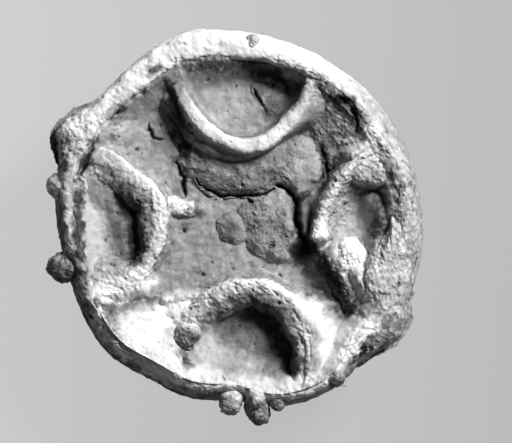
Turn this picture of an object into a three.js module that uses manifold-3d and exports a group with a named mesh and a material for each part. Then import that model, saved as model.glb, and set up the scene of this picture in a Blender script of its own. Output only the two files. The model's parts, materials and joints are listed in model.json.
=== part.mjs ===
// A compartmented stamp seal of cast copper alloy, worn and crusted from long burial.
// A round plate carries a rim wall and four arc walls that bow in towards the middle, so that the field
// between them is a cross with hollow sides. Pellets stand on the rim, burial crusts lie in the field,
// and a strap loop is cast on the back. One arc wall has lost a piece.
// Millimetres, +Z up. The seal lies on its back with its sealing face up: the worn crown of the loop
// rests at z = 0, and x = y = 0 is the middle of the seal's box.

import * as THREE from "three";
import { mergeVertices } from "three/addons/utils/BufferGeometryUtils.js";
import Module from "manifold-3d";

const wasm = await Module();
wasm.setup();

// Disc and plate
const discRadius = 21.4;
const plateThickness = 2.0;
const plateEdgeRound = 0.8;
const plateLip = 0.25;
const edgeSpringShare = 0.3;
// Radius of the worn outline every 15 degrees, from +X towards +Y
const outlineShares = [
  0.986, 0.984, 0.993, 0.998, 1.0, 1.005, 1.028, 1.033, 0.995, 0.985, 0.989, 0.966,
  0.928, 0.916, 0.916, 0.94, 0.922, 0.934, 0.925, 0.985, 1.008, 0.985, 0.995, 0.99,
];

// Rim wall, measured inwards from the outline and upwards from the field
const wallHeight = 3.6;
const rimOuterSlope = 1.15;
const rimCrestWidth = 1.35;
const rimInnerTaper = 0.55;
const crestRound = 0.22;
const sideBulgeDepth = 0.2;
// The outer side slopes more on the +X half, and the wall is worn down at the foot of the seal
const slopeSwingShare = 0.3;
const rimWearShares = [
  1, 1, 1, 1, 1, 1, 1, 1, 1, 1, 1, 1,
  1, 0.96, 0.9, 0.84, 0.8, 0.76, 0.74, 0.78, 0.86, 0.94, 1, 1,
];

// Arc walls
const arcHeight = 3.4;
const arcCrestWidth = 1.15;
const arcFootWidth = 2.2;
// Height left at the end of a broken wall and at the next steps, each a share of the next one inwards
const brokenEndShares = [0.6, 0.8, 0.95];
const stationDegrees = 30;
const tableReachDegrees = 120;
// A wall runs from one angle to the other round its own centre, or until it meets the rim (null).
// Its centre and radius are shares of the disc's radius. swellShares is how the radius wavers every
// 30 degrees, from 120 degrees before the facing direction on.
const arcWalls = [
  {
    name: "arc_wall_north",
    centreShares: [0.042, 0.803],
    radiusShare: 0.369,
    facingDegrees: 270,
    fromDegrees: null,
    toDegrees: null,
    swellShares: [1.1, 0.975, 0.91, 0.95, 1.03, 0.975, 0.905, 0.985, 1.1],
  },
  {
    name: "arc_wall_west",
    centreShares: [-0.766, 0.026],
    radiusShare: 0.36,
    facingDegrees: 0,
    fromDegrees: null,
    toDegrees: null,
    swellShares: [1.0, 0.92, 1.04, 1.085, 1.03, 0.955, 0.925, 1.0, 1.1],
  },
  {
    name: "arc_wall_south",
    centreShares: [0.069, -0.66],
    radiusShare: 0.3435,
    facingDegrees: 90,
    fromDegrees: null,
    toDegrees: 147,
    swellShares: [1.12, 0.995, 0.93, 0.99, 1.015, 0.98, 0.94, 0.99, 1.1],
  },
  {
    name: "arc_wall_east",
    centreShares: [0.792, -0.037],
    radiusShare: 0.36,
    facingDegrees: 180,
    fromDegrees: null,
    toDegrees: 186,
    swellShares: [1.5, 1.3, 1.1, 0.985, 1.0, 1.0, 1.0, 1.3, 1.5],
  },
  {
    name: "arc_wall_east_broken",
    centreShares: [0.792, -0.037],
    radiusShare: 0.36,
    facingDegrees: 180,
    fromDegrees: 200,
    toDegrees: null,
    swellShares: [1.5, 1.3, 1.1, 0.985, 0.85, 0.82, 0.92, 1.28, 1.5],
  },
];

// Pellets, each a small ball against the outer side of the rim or on its crest. sizeShare and
// standOffShare are shares of the pellet's radius, and standOff is how far its middle lies outside
// the outline. riseShare is the height of its middle above the field, as a share of the wall's.
const pelletRadius = 1.4;
const pellets = [
  { name: "pellet_west_upper", degrees: 167, sizeShare: 1, standOffShare: 0, riseShare: 0.44 },
  { name: "pellet_west_lower", degrees: 193, sizeShare: 1.07, standOffShare: 0.32, riseShare: 0.39 },
  { name: "pellet_south_left", degrees: 269, sizeShare: 0.93, standOffShare: 0.07, riseShare: 0.33 },
  { name: "pellet_south_middle", degrees: 277, sizeShare: 1, standOffShare: 0.5, riseShare: 0.17 },
  { name: "pellet_south_upper", degrees: 277.5, sizeShare: 0.79, standOffShare: -0.5, riseShare: 0.72 },
  { name: "pellet_south_small", degrees: 283.5, sizeShare: 0.71, standOffShare: -0.07, riseShare: 0.39 },
  { name: "pellet_south_east", degrees: 303, sizeShare: 0.89, standOffShare: -0.25, riseShare: 0.56 },
  { name: "pellet_north", degrees: 84.5, sizeShare: 0.71, standOffShare: -0.86, riseShare: 0.86 },
];

// Loop handle on the back: a strap bent to an arch, whose crown is worn flat
const handleHeight = 8.5;
const loopSpan = 10.8;
const strapThickness = 2.2;
const strapWidth = 4.6;
const strapFootWidth = 6.4;
const crownWear = 0.35;

// Lumps of burial crust that cling to the outer side of the rim, from one angle to the other.
// Their thickness is measured outwards from the middle of the crest. dropShare is how far they reach
// below the field, as a share of the plate's thickness, and heightShare how far above it, as a share
// of the wall's height. fullnessShares is what is left of the thickness and height at even steps.
const edgeCrustThickness = 3.7;
const edgeCrusts = [
  {
    name: "crust_corner_north_west",
    fromDegrees: 163,
    toDegrees: 146,
    dropShare: 0.5,
    heightShare: 1.03,
    fullnessShares: [0.72, 0.86, 0.97, 1.0, 0.9],
  },
  {
    name: "crust_edge_south_east",
    fromDegrees: 333,
    toDegrees: 311,
    dropShare: 0.6,
    heightShare: 0.92,
    fullnessShares: [0.82, 0.94, 1.0, 0.93, 0.75],
  },
];
const lowShoulderShare = 0.3;
const highShoulderShare = 0.72;
const brinkShare = 0.18;

// Flat sheets of crust that lie along the outer side of the north arc wall, in angles round its centre.
// reachShares is the radius of the outer edge, as a share of the arc's radius, at even steps, and
// heightShare the height of the top above the field, as a share of the wall's height.
const sheetCrusts = [
  {
    name: "crust_sheet_north",
    fromDegrees: 236,
    toDegrees: 291,
    heightShare: 0.28,
    reachShares: [1.42, 1.68, 1.74, 1.75, 1.72, 1.7, 1.72],
  },
  {
    name: "crust_lobe_north",
    fromDegrees: 294,
    toDegrees: 317,
    heightShare: 0.35,
    reachShares: [2.0, 2.08, 2.0, 1.75, 1.5],
  },
];

// Lumps of crust on the plate, each a low mesa. Its place is a share of the disc's radius, or of the
// field's radius where it leans on the rim, its size a share of the disc's radius and its height a
// share of the wall's. spreadShares is its radius every 30 degrees from +X, as a share of its size.
const lumps = [
  {
    name: "crust_centre",
    placeShares: [0.222, -0.011],
    sizeShare: 0.173,
    heightShare: 0.22,
    spreadShares: [0.64, 0.58, 0.88, 1.05, 1.0, 0.86, 0.8, 0.9, 0.94, 1.0, 1.08, 0.92],
  },
  {
    name: "crust_bump",
    placeShares: [-0.04, -0.016],
    sizeShare: 0.082,
    heightShare: 0.21,
    spreadShares: [0.8, 0.9, 1.0, 1.05, 1.0, 0.95, 0.95, 1.0, 1.05, 1.0, 0.9, 0.8],
  },
  {
    name: "crust_north_east",
    placeShares: [0.502, 0.502],
    sizeShare: 0.168,
    heightShare: 0.36,
    spreadShares: [0.78, 0.84, 0.98, 1.15, 1.18, 1.05, 0.98, 0.98, 1.05, 1.3, 1.05, 0.82],
  },
  {
    name: "crust_plateau_east",
    placeShares: [0.755, 0.3],
    sizeShare: 0.112,
    heightShare: 0.83,
    spreadShares: [1.2, 1.1, 0.95, 0.9, 0.95, 0.95, 1.0, 0.98, 0.9, 0.9, 0.95, 1.1],
  },
  {
    name: "lump_east",
    placeShares: [0.64, -0.17],
    sizeShare: 0.079,
    heightShare: 0.72,
    spreadShares: [0.95, 1.0, 1.0, 1.0, 1.0, 1.0, 0.98, 1.0, 0.95, 0.9, 0.9, 0.95],
  },
  {
    name: "crust_bank_east",
    leansOnRim: true,
    placeShares: [0.973, -0.328],
    sizeShare: 0.15,
    heightShare: 0.83,
    spreadShares: [0.6, 0.75, 1.1, 1.35, 1.1, 0.85, 0.62, 0.68, 0.75, 0.8, 0.75, 0.6],
  },
  {
    name: "crust_flake_north",
    placeShares: [0.185, 0.62],
    sizeShare: 0.103,
    heightShare: 0.14,
    spreadShares: [0.6, 0.75, 0.95, 1.05, 0.95, 0.8, 0.7, 0.75, 0.85, 1.0, 0.9, 0.7],
  },
  {
    name: "nodule_west",
    placeShares: [-0.3, 0.106],
    sizeShare: 0.089,
    heightShare: 0.42,
    spreadShares: [1.05, 0.7, 0.5, 0.45, 0.5, 0.7, 1.1, 0.7, 0.5, 0.45, 0.5, 0.7],
  },
  {
    name: "nodule_south",
    placeShares: [-0.27, -0.587],
    sizeShare: 0.079,
    heightShare: 0.86,
    spreadShares: [0.9, 0.95, 0.95, 0.9, 0.9, 0.95, 1.0, 1.0, 0.95, 0.9, 0.95, 0.9],
  },
  {
    name: "nodule_south_small",
    leansOnRim: true,
    placeShares: [-0.343, -0.921],
    sizeShare: 0.04,
    heightShare: 0.8,
    spreadShares: [0.9, 1.0, 1.1, 1.1, 1.0, 0.9, 0.85, 0.95, 1.1, 1.2, 1.1, 0.95],
  },
];
// Outline and height of a lump from its foot to its top, as shares of its size and height
const mesaShares = [
  [1, 0],
  [0.92, 0.5],
  [0.75, 0.85],
  [0.5, 1],
];

// Lime that burial has packed into the corners of the field, grown on the plate as one body with it.
// It slopes down from the rim's crest, and from the crest of the south arc wall. widthShares is how far
// it reaches from the middle of the crest, as a share of the disc's radius, and heightShares how high it
// stands there, as a share of the wall's height, at even steps between the two angles.
const rimLime = {
  fromDegrees: 150,
  toDegrees: 330,
  widthShares: [0.15, 0.17, 0.207, 0.216, 0.314, 0.44, 0.44, 0.338, 0.281, 0.272, 0.244, 0.179, 0.131],
  heightShares: [0.26, 0.33, 0.47, 0.55, 0.78, 0.82, 0.79, 0.69, 0.65, 0.67, 0.72, 0.67, 0.4],
};
const southLime = {
  fromDegrees: -30,
  toDegrees: 75,
  widthShares: [0.213, 0.24, 0.24, 0.199, 0.137, 0.09, 0.069, 0.053],
  heightShares: [0.83, 0.83, 0.83, 0.83, 0.83, 0.8, 0.6, 0.4],
};
// Reach and rise of the lime from the crest down to its edge, as shares of its width and height. The
// edge dips below the field, and limeSinkShare is how deep the rest of its base lies in the plate.
const limeProfileShares = [
  [0, 1],
  [0.15, 0.92],
  [0.35, 0.7],
  [0.57, 0.38],
  [0.78, 0.11],
  [1, -0.04],
];
const limeSinkShare = 0.4;

// Cracks in the field, each a line of places as shares of the disc's radius. Width and depth are shares
// of the plate's thickness, and taperShare is what is left of the width at a crack's ends and bottom.
const crackWidthShare = 0.3;
const crackDepthShare = 0.45;
const crackTaperShare = 0.3;
const crackLines = [
  [[-0.306, 0.327], [-0.29, 0.28], [-0.269, 0.248], [-0.275, 0.201], [-0.264, 0.158]],
  [[-0.459, 0.539], [-0.454, 0.496], [-0.428, 0.459], [-0.38, 0.454]],
  [[0.454, 0.417], [0.475, 0.354], [0.491, 0.28], [0.486, 0.206], [0.459, 0.143]],
  [[0.306, 0.148], [0.322, 0.084], [0.322, 0.021], [0.349, -0.042], [0.38, -0.111]],
];

// Fits between neighbours, and how far a cutter runs past what it cuts
const clearance = 0.3;
const overrun = 5;

// Fineness of the curved faces
const rimSteps = 96;
const lumpSteps = 24;
const strapSteps = 24;
const strapSides = 12;
const limeStepsPerShare = 2;
const crackSteps = 8;
const arcStepDegrees = 6;
const sphereSides = 16;
const sphereRings = 10;

const fieldLevel = handleHeight + plateThickness;

// Value of a share table at a place along it, on a smooth curve through the shares (Catmull-Rom)
function shareAt(shares, place, closed) {
  const count = shares.length;
  const index = Math.floor(place);
  const part = place - index;
  const wrapped = (i) => shares[THREE.MathUtils.euclideanModulo(i, count)];
  const clamped = (i) => shares[THREE.MathUtils.clamp(i, 0, count - 1)];
  const pick = closed ? wrapped : clamped;
  const [a, b, c, d] = [pick(index - 1), pick(index), pick(index + 1), pick(index + 2)];
  return b + 0.5 * part * (c - a + part * (2 * a - 5 * b + 4 * c - d + part * (3 * (b - c) + d - a)));
}

function turnShare(shares, angle) {
  return shareAt(shares, (angle / (2 * Math.PI)) * shares.length, true);
}

function outlineRadius(angle) {
  return discRadius * turnShare(outlineShares, angle);
}

// Inset of the crest's outer edge from the outline
function crestInset(angle) {
  return plateLip + rimOuterSlope * (1 + slopeSwingShare * Math.cos(angle));
}

function crestMiddleRadius(angle) {
  return outlineRadius(angle) - crestInset(angle) - rimCrestWidth / 2;
}

// Radius of the field, at the foot of the rim wall's inner side
function fieldRadius(angle) {
  return crestMiddleRadius(angle) - rimCrestWidth / 2 - rimInnerTaper;
}

function polar(radius, angle, z) {
  return new THREE.Vector3(radius * Math.cos(angle), radius * Math.sin(angle), z);
}

// Closed surface through rings of points that run clockwise, seen along the path from its start.
// The last ring joins the first, or the two ends are closed by fans.
function loft(rings, joined) {
  const sides = rings[0].length;
  const points = rings.flat();
  const faces = [];
  const bands = joined ? rings.length : rings.length - 1;
  for (let i = 0; i < bands; i++) {
    const here = i * sides;
    const next = ((i + 1) % rings.length) * sides;
    for (let j = 0; j < sides; j++) {
      const k = (j + 1) % sides;
      faces.push(here + j, here + k, next + k, here + j, next + k, next + j);
    }
  }
  if (!joined) {
    const last = (rings.length - 1) * sides;
    const middleOf = (ring) => ring.reduce((sum, p) => sum.add(p), new THREE.Vector3()).divideScalar(sides);
    const startHub = points.push(middleOf(rings[0])) - 1;
    const endHub = points.push(middleOf(rings[rings.length - 1])) - 1;
    for (let j = 0; j < sides; j++) {
      const k = (j + 1) % sides;
      faces.push(startHub, k, j, endHub, last + j, last + k);
    }
  }
  const geometry = new THREE.BufferGeometry().setFromPoints(points);
  geometry.setIndex(faces);
  return geometry;
}

// Solid for cutting, from a geometry whose shared corners are merged first
function solidOf(geometry) {
  const bare = geometry.clone();
  bare.deleteAttribute("normal");
  bare.deleteAttribute("uv");
  const merged = mergeVertices(bare);
  return new wasm.Manifold(
    new wasm.Mesh({
      numProp: 3,
      vertProperties: merged.attributes.position.array,
      triVerts: new Uint32Array(merged.index.array),
    }),
  );
}

function geometryOf(solid) {
  const mesh = solid.getMesh();
  const geometry = new THREE.BufferGeometry();
  geometry.setAttribute("position", new THREE.BufferAttribute(mesh.vertProperties, 3));
  geometry.setIndex(new THREE.BufferAttribute(mesh.triVerts, 1));
  return geometry;
}

function cutBy(geometry, cutters) {
  return geometryOf(cutters.reduce((solid, cutter) => solid.subtract(cutter), solidOf(geometry)));
}

// Plate: a disc of the worn outline with a rounded lower edge and a flat field
function plateGeometry(swell) {
  const levels = [
    { inset: plateEdgeRound, z: handleHeight - swell },
    { inset: plateEdgeRound * edgeSpringShare, z: handleHeight - swell + plateEdgeRound * edgeSpringShare },
    { inset: 0, z: handleHeight + plateEdgeRound },
    { inset: plateLip / 2, z: fieldLevel - plateLip },
    { inset: plateLip, z: fieldLevel + swell },
  ];
  const rings = levels.map(({ inset, z }) =>
    Array.from({ length: rimSteps }, (_, i) => {
      const angle = (i / rimSteps) * 2 * Math.PI;
      return polar(outlineRadius(angle) - inset + swell, angle, z);
    }),
  );
  return loft(rings, false);
}

// Rim wall: one section carried round the outline, tapered to a flat crest
function rimGeometry(swell, extraHeight) {
  const rings = Array.from({ length: rimSteps }, (_, i) => {
    const angle = -(i / rimSteps) * 2 * Math.PI;
    const height = wallHeight * turnShare(rimWearShares, angle) + extraHeight;
    const outerFoot = plateLip - swell;
    const outerCrest = crestInset(angle) - swell;
    const innerCrest = crestInset(angle) + rimCrestWidth + swell;
    const section = [
      [outerFoot, 0],
      [(outerFoot + outerCrest) / 2 - sideBulgeDepth, height / 2],
      [outerCrest, height - crestRound],
      [outerCrest + crestRound, height],
      [innerCrest - crestRound, height],
      [innerCrest, height - crestRound],
      [innerCrest + rimInnerTaper / 3, height / 2],
      [innerCrest + rimInnerTaper, 0],
    ];
    return section.map(([inset, rise]) => polar(outlineRadius(angle) - inset, angle, fieldLevel + rise));
  });
  return loft(rings, true);
}

// Middle line of an arc wall at an angle round its own centre
function arcPoint(arc, angle) {
  const [shareX, shareY] = arc.centreShares;
  const degrees = THREE.MathUtils.radToDeg(angle) - arc.facingDegrees + tableReachDegrees;
  const radius = discRadius * arc.radiusShare * shareAt(arc.swellShares, degrees / stationDegrees, false);
  const centre = new THREE.Vector3(discRadius * shareX, discRadius * shareY, 0);
  return polar(radius, angle, fieldLevel).add(centre);
}

// Angle at which an arc wall reaches the middle of the rim, going one way from its facing direction
function arcEndAngle(arc, way) {
  const step = THREE.MathUtils.degToRad(way);
  let angle = THREE.MathUtils.degToRad(arc.facingDegrees);
  let point = arcPoint(arc, angle);
  while (Math.hypot(point.x, point.y) < crestMiddleRadius(Math.atan2(point.y, point.x))) {
    angle += step;
    point = arcPoint(arc, angle);
  }
  return angle;
}

// Arc wall: a tapered section with a rounded crest, carried along the wavering middle line
function arcGeometry(arc, swell, extraHeight) {
  const from = arc.fromDegrees === null ? arcEndAngle(arc, -1) : THREE.MathUtils.degToRad(arc.fromDegrees);
  const to = arc.toDegrees === null ? arcEndAngle(arc, 1) : THREE.MathUtils.degToRad(arc.toDegrees);
  const steps = Math.ceil((to - from) / THREE.MathUtils.degToRad(arcStepDegrees));
  const dropAt = (stepsFromEnd, broken) => (broken ? (brokenEndShares[stepsFromEnd] ?? 1) : 1);
  const rings = Array.from({ length: steps + 1 }, (_, i) => {
    const angle = from + ((to - from) * i) / steps;
    const nudge = (to - from) / steps / 2;
    const along = arcPoint(arc, angle + nudge).sub(arcPoint(arc, angle - nudge)).normalize();
    const across = new THREE.Vector3(-along.y, along.x, 0);
    const drop = dropAt(i, arc.fromDegrees !== null) * dropAt(steps - i, arc.toDegrees !== null);
    const height = arcHeight * drop + extraHeight;
    const foot = arcFootWidth / 2 + swell;
    const crest = arcCrestWidth / 2 + swell;
    const section = [
      [-foot, 0],
      [foot, 0],
      [crest + (foot - crest) / 3, height / 2],
      [crest, height - crestRound],
      [crest - crestRound, height],
      [crestRound - crest, height],
      [-crest, height - crestRound],
      [-crest - (foot - crest) / 3, height / 2],
    ];
    const middle = arcPoint(arc, angle);
    return section.map(([side, rise]) => {
      const point = middle.clone().addScaledVector(across, side);
      return point.setZ(fieldLevel + rise);
    });
  });
  return loft(rings, false);
}

function pelletGeometry(pellet, swell) {
  const angle = THREE.MathUtils.degToRad(pellet.degrees);
  const distance = outlineRadius(angle) + pelletRadius * pellet.standOffShare;
  const middle = polar(distance, angle, fieldLevel + wallHeight * pellet.riseShare);
  const ball = new THREE.SphereGeometry(pelletRadius * pellet.sizeShare + swell, sphereSides, sphereRings);
  return ball.rotateX(Math.PI / 2).translate(middle.x, middle.y, middle.z);
}

// Strap loop: a rounded strap section carried round half an ellipse, wider at the feet and worn flat
// at the crown
function loopGeometry() {
  const depth = handleHeight - strapThickness / 2 + crownWear;
  const rings = Array.from({ length: strapSteps + 1 }, (_, i) => {
    const turn = (Math.PI * i) / strapSteps;
    const across = (-loopSpan / 2) * Math.cos(turn);
    const middle = new THREE.Vector3(across, 0, handleHeight - depth * Math.sin(turn));
    const outwards = new THREE.Vector3(-depth * Math.cos(turn), 0, (-loopSpan / 2) * Math.sin(turn));
    outwards.normalize();
    const width = strapWidth + (strapFootWidth - strapWidth) * Math.cos(turn) ** 2;
    return Array.from({ length: strapSides }, (_, j) => {
      const round = (2 * Math.PI * (j + 0.5)) / strapSides;
      const square = (value) => Math.sign(value) * Math.sqrt(Math.abs(value));
      const point = middle
        .clone()
        .addScaledVector(outwards, (strapThickness / 2) * square(Math.cos(round)))
        .add(new THREE.Vector3(0, (width / 2) * square(Math.sin(round)), 0));
      return point.setZ(Math.max(point.z, 0));
    });
  });
  return loft(rings, false);
}

// Crust on the outer side of the rim: a section from the middle of the crest outwards, carried round it
function edgeCrustGeometry(crust) {
  const steps = (crust.fullnessShares.length - 1) * 2;
  const rings = Array.from({ length: steps + 1 }, (_, i) => {
    const degrees = THREE.MathUtils.lerp(crust.fromDegrees, crust.toDegrees, i / steps);
    const angle = THREE.MathUtils.degToRad(degrees);
    const fullness = shareAt(crust.fullnessShares, i / 2, false);
    const inner = crestMiddleRadius(angle);
    const outer = inner + edgeCrustThickness * fullness;
    const low = fieldLevel - plateThickness * crust.dropShare;
    const high = fieldLevel + wallHeight * crust.heightShare * fullness;
    return [
      polar(inner, angle, low),
      polar((inner + outer) / 2, angle, low),
      polar(outer, angle, THREE.MathUtils.lerp(low, high, lowShoulderShare)),
      polar(outer, angle, THREE.MathUtils.lerp(low, high, highShoulderShare)),
      polar(outer - edgeCrustThickness * brinkShare, angle, high),
      polar(inner, angle, high),
    ];
  });
  return loft(rings, false);
}

// Sheet of crust beside the north arc wall: from the middle of the wall out to a ragged edge
function sheetCrustGeometry(crust, swell, extraHeight) {
  const arc = arcWalls[0];
  const from = THREE.MathUtils.degToRad(crust.fromDegrees);
  const to = THREE.MathUtils.degToRad(crust.toDegrees);
  const steps = (crust.reachShares.length - 1) * 2;
  const [shareX, shareY] = arc.centreShares;
  const centre = new THREE.Vector3(discRadius * shareX, discRadius * shareY, 0);
  const rings = Array.from({ length: steps + 1 }, (_, i) => {
    const angle = from + ((to - from) * i) / steps;
    const inner = arcPoint(arc, angle).sub(centre).setZ(0).length();
    const outer = discRadius * arc.radiusShare * shareAt(crust.reachShares, i / 2, false) + swell;
    const height = wallHeight * crust.heightShare;
    const shoulder = height / 2;
    const top = fieldLevel + height + extraHeight;
    return [
      polar(inner, angle, fieldLevel),
      polar(inner, angle, top),
      polar(outer - height, angle, top),
      polar(outer - shoulder / 2, angle, top - shoulder),
      polar(outer, angle, fieldLevel),
    ].map((point) => point.add(centre));
  });
  return loft(rings, false);
}

// Lump on the plate: rings of one ragged outline, drawn in towards the top
function lumpGeometry(lump, swell, extraHeight) {
  const [shareX, shareY] = lump.placeShares;
  const reach = lump.leansOnRim ? fieldRadius(Math.atan2(shareY, shareX)) : discRadius;
  const middle = new THREE.Vector3(reach * shareX, reach * shareY, fieldLevel);
  const height = wallHeight * lump.heightShare + extraHeight;
  const rings = mesaShares.map(([sizeShare, riseShare]) =>
    Array.from({ length: lumpSteps }, (_, i) => {
      const angle = (i / lumpSteps) * 2 * Math.PI;
      const spread = discRadius * lump.sizeShare * sizeShare * turnShare(lump.spreadShares, angle);
      return polar(spread + swell, angle, height * riseShare).add(middle);
    }),
  );
  return loft(rings, false);
}

// Lime bank: its section carried round a middle. crestRadius gives the radius at which it is highest,
// and way is -1 where the lime lies inwards of that radius and 1 where it lies outwards.
function limeGeometry(lime, crestRadius, centre, way) {
  const steps = (lime.widthShares.length - 1) * limeStepsPerShare;
  const rings = Array.from({ length: steps + 1 }, (_, i) => {
    const degrees = THREE.MathUtils.lerp(lime.fromDegrees, lime.toDegrees, i / steps);
    const angle = THREE.MathUtils.degToRad(degrees);
    const width = discRadius * shareAt(lime.widthShares, i / limeStepsPerShare, false);
    const height = wallHeight * shareAt(lime.heightShares, i / limeStepsPerShare, false);
    const low = fieldLevel - plateThickness * limeSinkShare;
    const surface = limeProfileShares.map(([reach, rise]) => [crestRadius(angle) + way * width * reach, rise]);
    const top = surface.map(([radius, rise]) => polar(radius, angle, fieldLevel + height * rise).add(centre));
    const base = [surface[surface.length - 1], surface[0]];
    const section = [...top, ...base.map(([radius]) => polar(radius, angle, low).add(centre))];
    return way < 0 ? section.reverse() : section;
  });
  return loft(rings, false);
}

// Crack: a wedge that points down into the plate, carried along its line and narrow at both ends
function crackGeometry(line) {
  const places = line.map(([x, y]) => new THREE.Vector3(x, y, 0).multiplyScalar(discRadius));
  const curve = new THREE.CatmullRomCurve3(places);
  const depth = plateThickness * crackDepthShare;
  const rings = Array.from({ length: crackSteps + 1 }, (_, i) => {
    const middle = curve.getPoint(i / crackSteps).setZ(fieldLevel);
    const along = curve.getTangent(i / crackSteps);
    const across = new THREE.Vector3(-along.y, along.x, 0);
    const atEnd = i === 0 || i === crackSteps;
    const half = (plateThickness * crackWidthShare * (atEnd ? crackTaperShare : 1)) / 2;
    const section = [
      [-half * crackTaperShare, -depth],
      [half * crackTaperShare, -depth],
      [half, 0],
      [half, depth],
      [-half, depth],
      [-half, 0],
    ];
    return section.map(([side, rise]) => {
      const point = middle.clone().addScaledVector(across, side);
      return point.setZ(fieldLevel + rise);
    });
  });
  return loft(rings, false);
}

// Everything inside the middle of the rim's crest, from the plate up
function insideRimGeometry() {
  const levels = [fieldLevel - plateThickness, fieldLevel + wallHeight];
  const rings = levels.map((z) =>
    Array.from({ length: rimSteps }, (_, i) => {
      const angle = (i / rimSteps) * 2 * Math.PI;
      return polar(crestMiddleRadius(angle), angle, z);
    }),
  );
  return loft(rings, false);
}

// Finishes
const metal = new THREE.MeshStandardMaterial({ color: 0x9b9b97, roughness: 0.85, metalness: 0.15 });
const wornMetal = new THREE.MeshStandardMaterial({ color: 0xd8d7d2, roughness: 0.75, metalness: 0.1 });
const paleCrust = new THREE.MeshStandardMaterial({ color: 0xe2e1dc, roughness: 0.95, metalness: 0 });
const darkCrust = new THREE.MeshStandardMaterial({ color: 0x7c7c79, roughness: 0.95, metalness: 0 });
const lumpFinishes = { lump_east: paleCrust, nodule_west: paleCrust, crust_bank_east: paleCrust };

const seal = new THREE.Group();

function addPiece(name, geometry, material) {
  const plain = geometry.toNonIndexed();
  plain.computeVertexNormals();
  const mesh = new THREE.Mesh(plain, material.clone());
  mesh.name = name;
  seal.add(mesh);
}

// Cutters: each neighbour swollen by the clearance, and in the field also taller than what it cuts
const plateCutter = solidOf(plateGeometry(clearance));
const rimCutter = solidOf(rimGeometry(clearance, overrun));
const rimSkinCutter = solidOf(rimGeometry(clearance, clearance));
const arcCutters = arcWalls.map((arc) => solidOf(arcGeometry(arc, clearance, overrun)));

addPiece("rim_wall", rimGeometry(0, 0), wornMetal);
arcWalls.forEach((arc) => addPiece(arc.name, cutBy(arcGeometry(arc, 0, 0), [rimCutter]), wornMetal));
addPiece("loop_handle", loopGeometry(), metal);

// Each piece that clings to the outside is cut by the disc and by the pieces before it
const outsideCutters = [rimSkinCutter, plateCutter];
pellets.forEach((pellet) => {
  addPiece(pellet.name, cutBy(pelletGeometry(pellet, 0), outsideCutters), darkCrust);
  outsideCutters.push(solidOf(pelletGeometry(pellet, clearance)));
});
edgeCrusts.forEach((crust) => {
  addPiece(crust.name, cutBy(edgeCrustGeometry(crust), outsideCutters), darkCrust);
});

// Each crust in the field is cut by the walls and by the crusts before it
const fieldCutters = [rimCutter, ...arcCutters];
sheetCrusts.forEach((crust) => {
  addPiece(crust.name, cutBy(sheetCrustGeometry(crust, 0, 0), fieldCutters), darkCrust);
  fieldCutters.push(solidOf(sheetCrustGeometry(crust, clearance, overrun)));
});
lumps.forEach((lump) => {
  const finish = lumpFinishes[lump.name] ?? darkCrust;
  addPiece(lump.name, cutBy(lumpGeometry(lump, 0, 0), fieldCutters), finish);
  fieldCutters.push(solidOf(lumpGeometry(lump, clearance, overrun)));
});

// The plate carries the lime, which is cut by everything that stands in the field, and it is cracked
const southArc = arcWalls[2];
const southCentre = new THREE.Vector3(...southArc.centreShares, 0).multiplyScalar(discRadius);
const southRadius = (angle) => arcPoint(southArc, angle).sub(southCentre).setZ(0).length();
const limes = [
  limeGeometry(rimLime, crestMiddleRadius, new THREE.Vector3(), -1),
  limeGeometry(southLime, southRadius, southCentre, 1),
];
const insideRim = solidOf(insideRimGeometry());
const limedPlate = limes.reduce(
  (plate, lime) => plate.add(solidOf(cutBy(lime, fieldCutters)).intersect(insideRim)),
  solidOf(plateGeometry(0)),
);
const cracks = crackLines.map((line) => solidOf(crackGeometry(line)));
addPiece("seal_plate", cutBy(geometryOf(limedPlate), cracks), metal);

// The middle of the seal's box goes to x = y = 0
const box = new THREE.Box3().setFromObject(seal);
const middle = box.getCenter(new THREE.Vector3());
seal.position.set(-middle.x, -middle.y, 0);

export default seal;
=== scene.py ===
# %% [markdown]
# # A buried stamp seal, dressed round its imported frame
# The CAD model says where each piece of this cast bronze seal sits and how large it is. This script
# gives every piece the surface that centuries in the ground have given the real one: wavering walls,
# grains, pits, cracks, crusts and slopes of lime. Each surface is worked out with numpy as a grid of
# points, in millimetres, and becomes a mesh in metres in the same frame as the CAD.

# %% Load the frame
import itertools
import json

import bpy
import numpy as np
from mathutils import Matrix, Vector


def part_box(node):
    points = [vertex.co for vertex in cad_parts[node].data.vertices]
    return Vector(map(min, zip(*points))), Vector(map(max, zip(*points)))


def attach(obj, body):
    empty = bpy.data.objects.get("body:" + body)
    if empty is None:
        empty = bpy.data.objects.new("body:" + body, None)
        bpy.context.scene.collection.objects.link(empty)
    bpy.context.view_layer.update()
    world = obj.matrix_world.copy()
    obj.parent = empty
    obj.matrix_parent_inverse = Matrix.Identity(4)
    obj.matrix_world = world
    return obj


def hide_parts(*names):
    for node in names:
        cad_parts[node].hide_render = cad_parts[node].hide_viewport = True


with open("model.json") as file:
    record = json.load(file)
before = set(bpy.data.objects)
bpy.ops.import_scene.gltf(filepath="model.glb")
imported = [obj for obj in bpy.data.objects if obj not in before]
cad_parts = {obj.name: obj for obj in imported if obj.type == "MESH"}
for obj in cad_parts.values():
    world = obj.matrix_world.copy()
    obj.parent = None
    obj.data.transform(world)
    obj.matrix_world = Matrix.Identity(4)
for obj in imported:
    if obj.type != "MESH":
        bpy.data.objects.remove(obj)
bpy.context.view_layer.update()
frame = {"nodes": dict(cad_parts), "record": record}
slot_of = {row["node"]: row["material_slot"] for row in frame["record"]["subparts"]}
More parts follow.
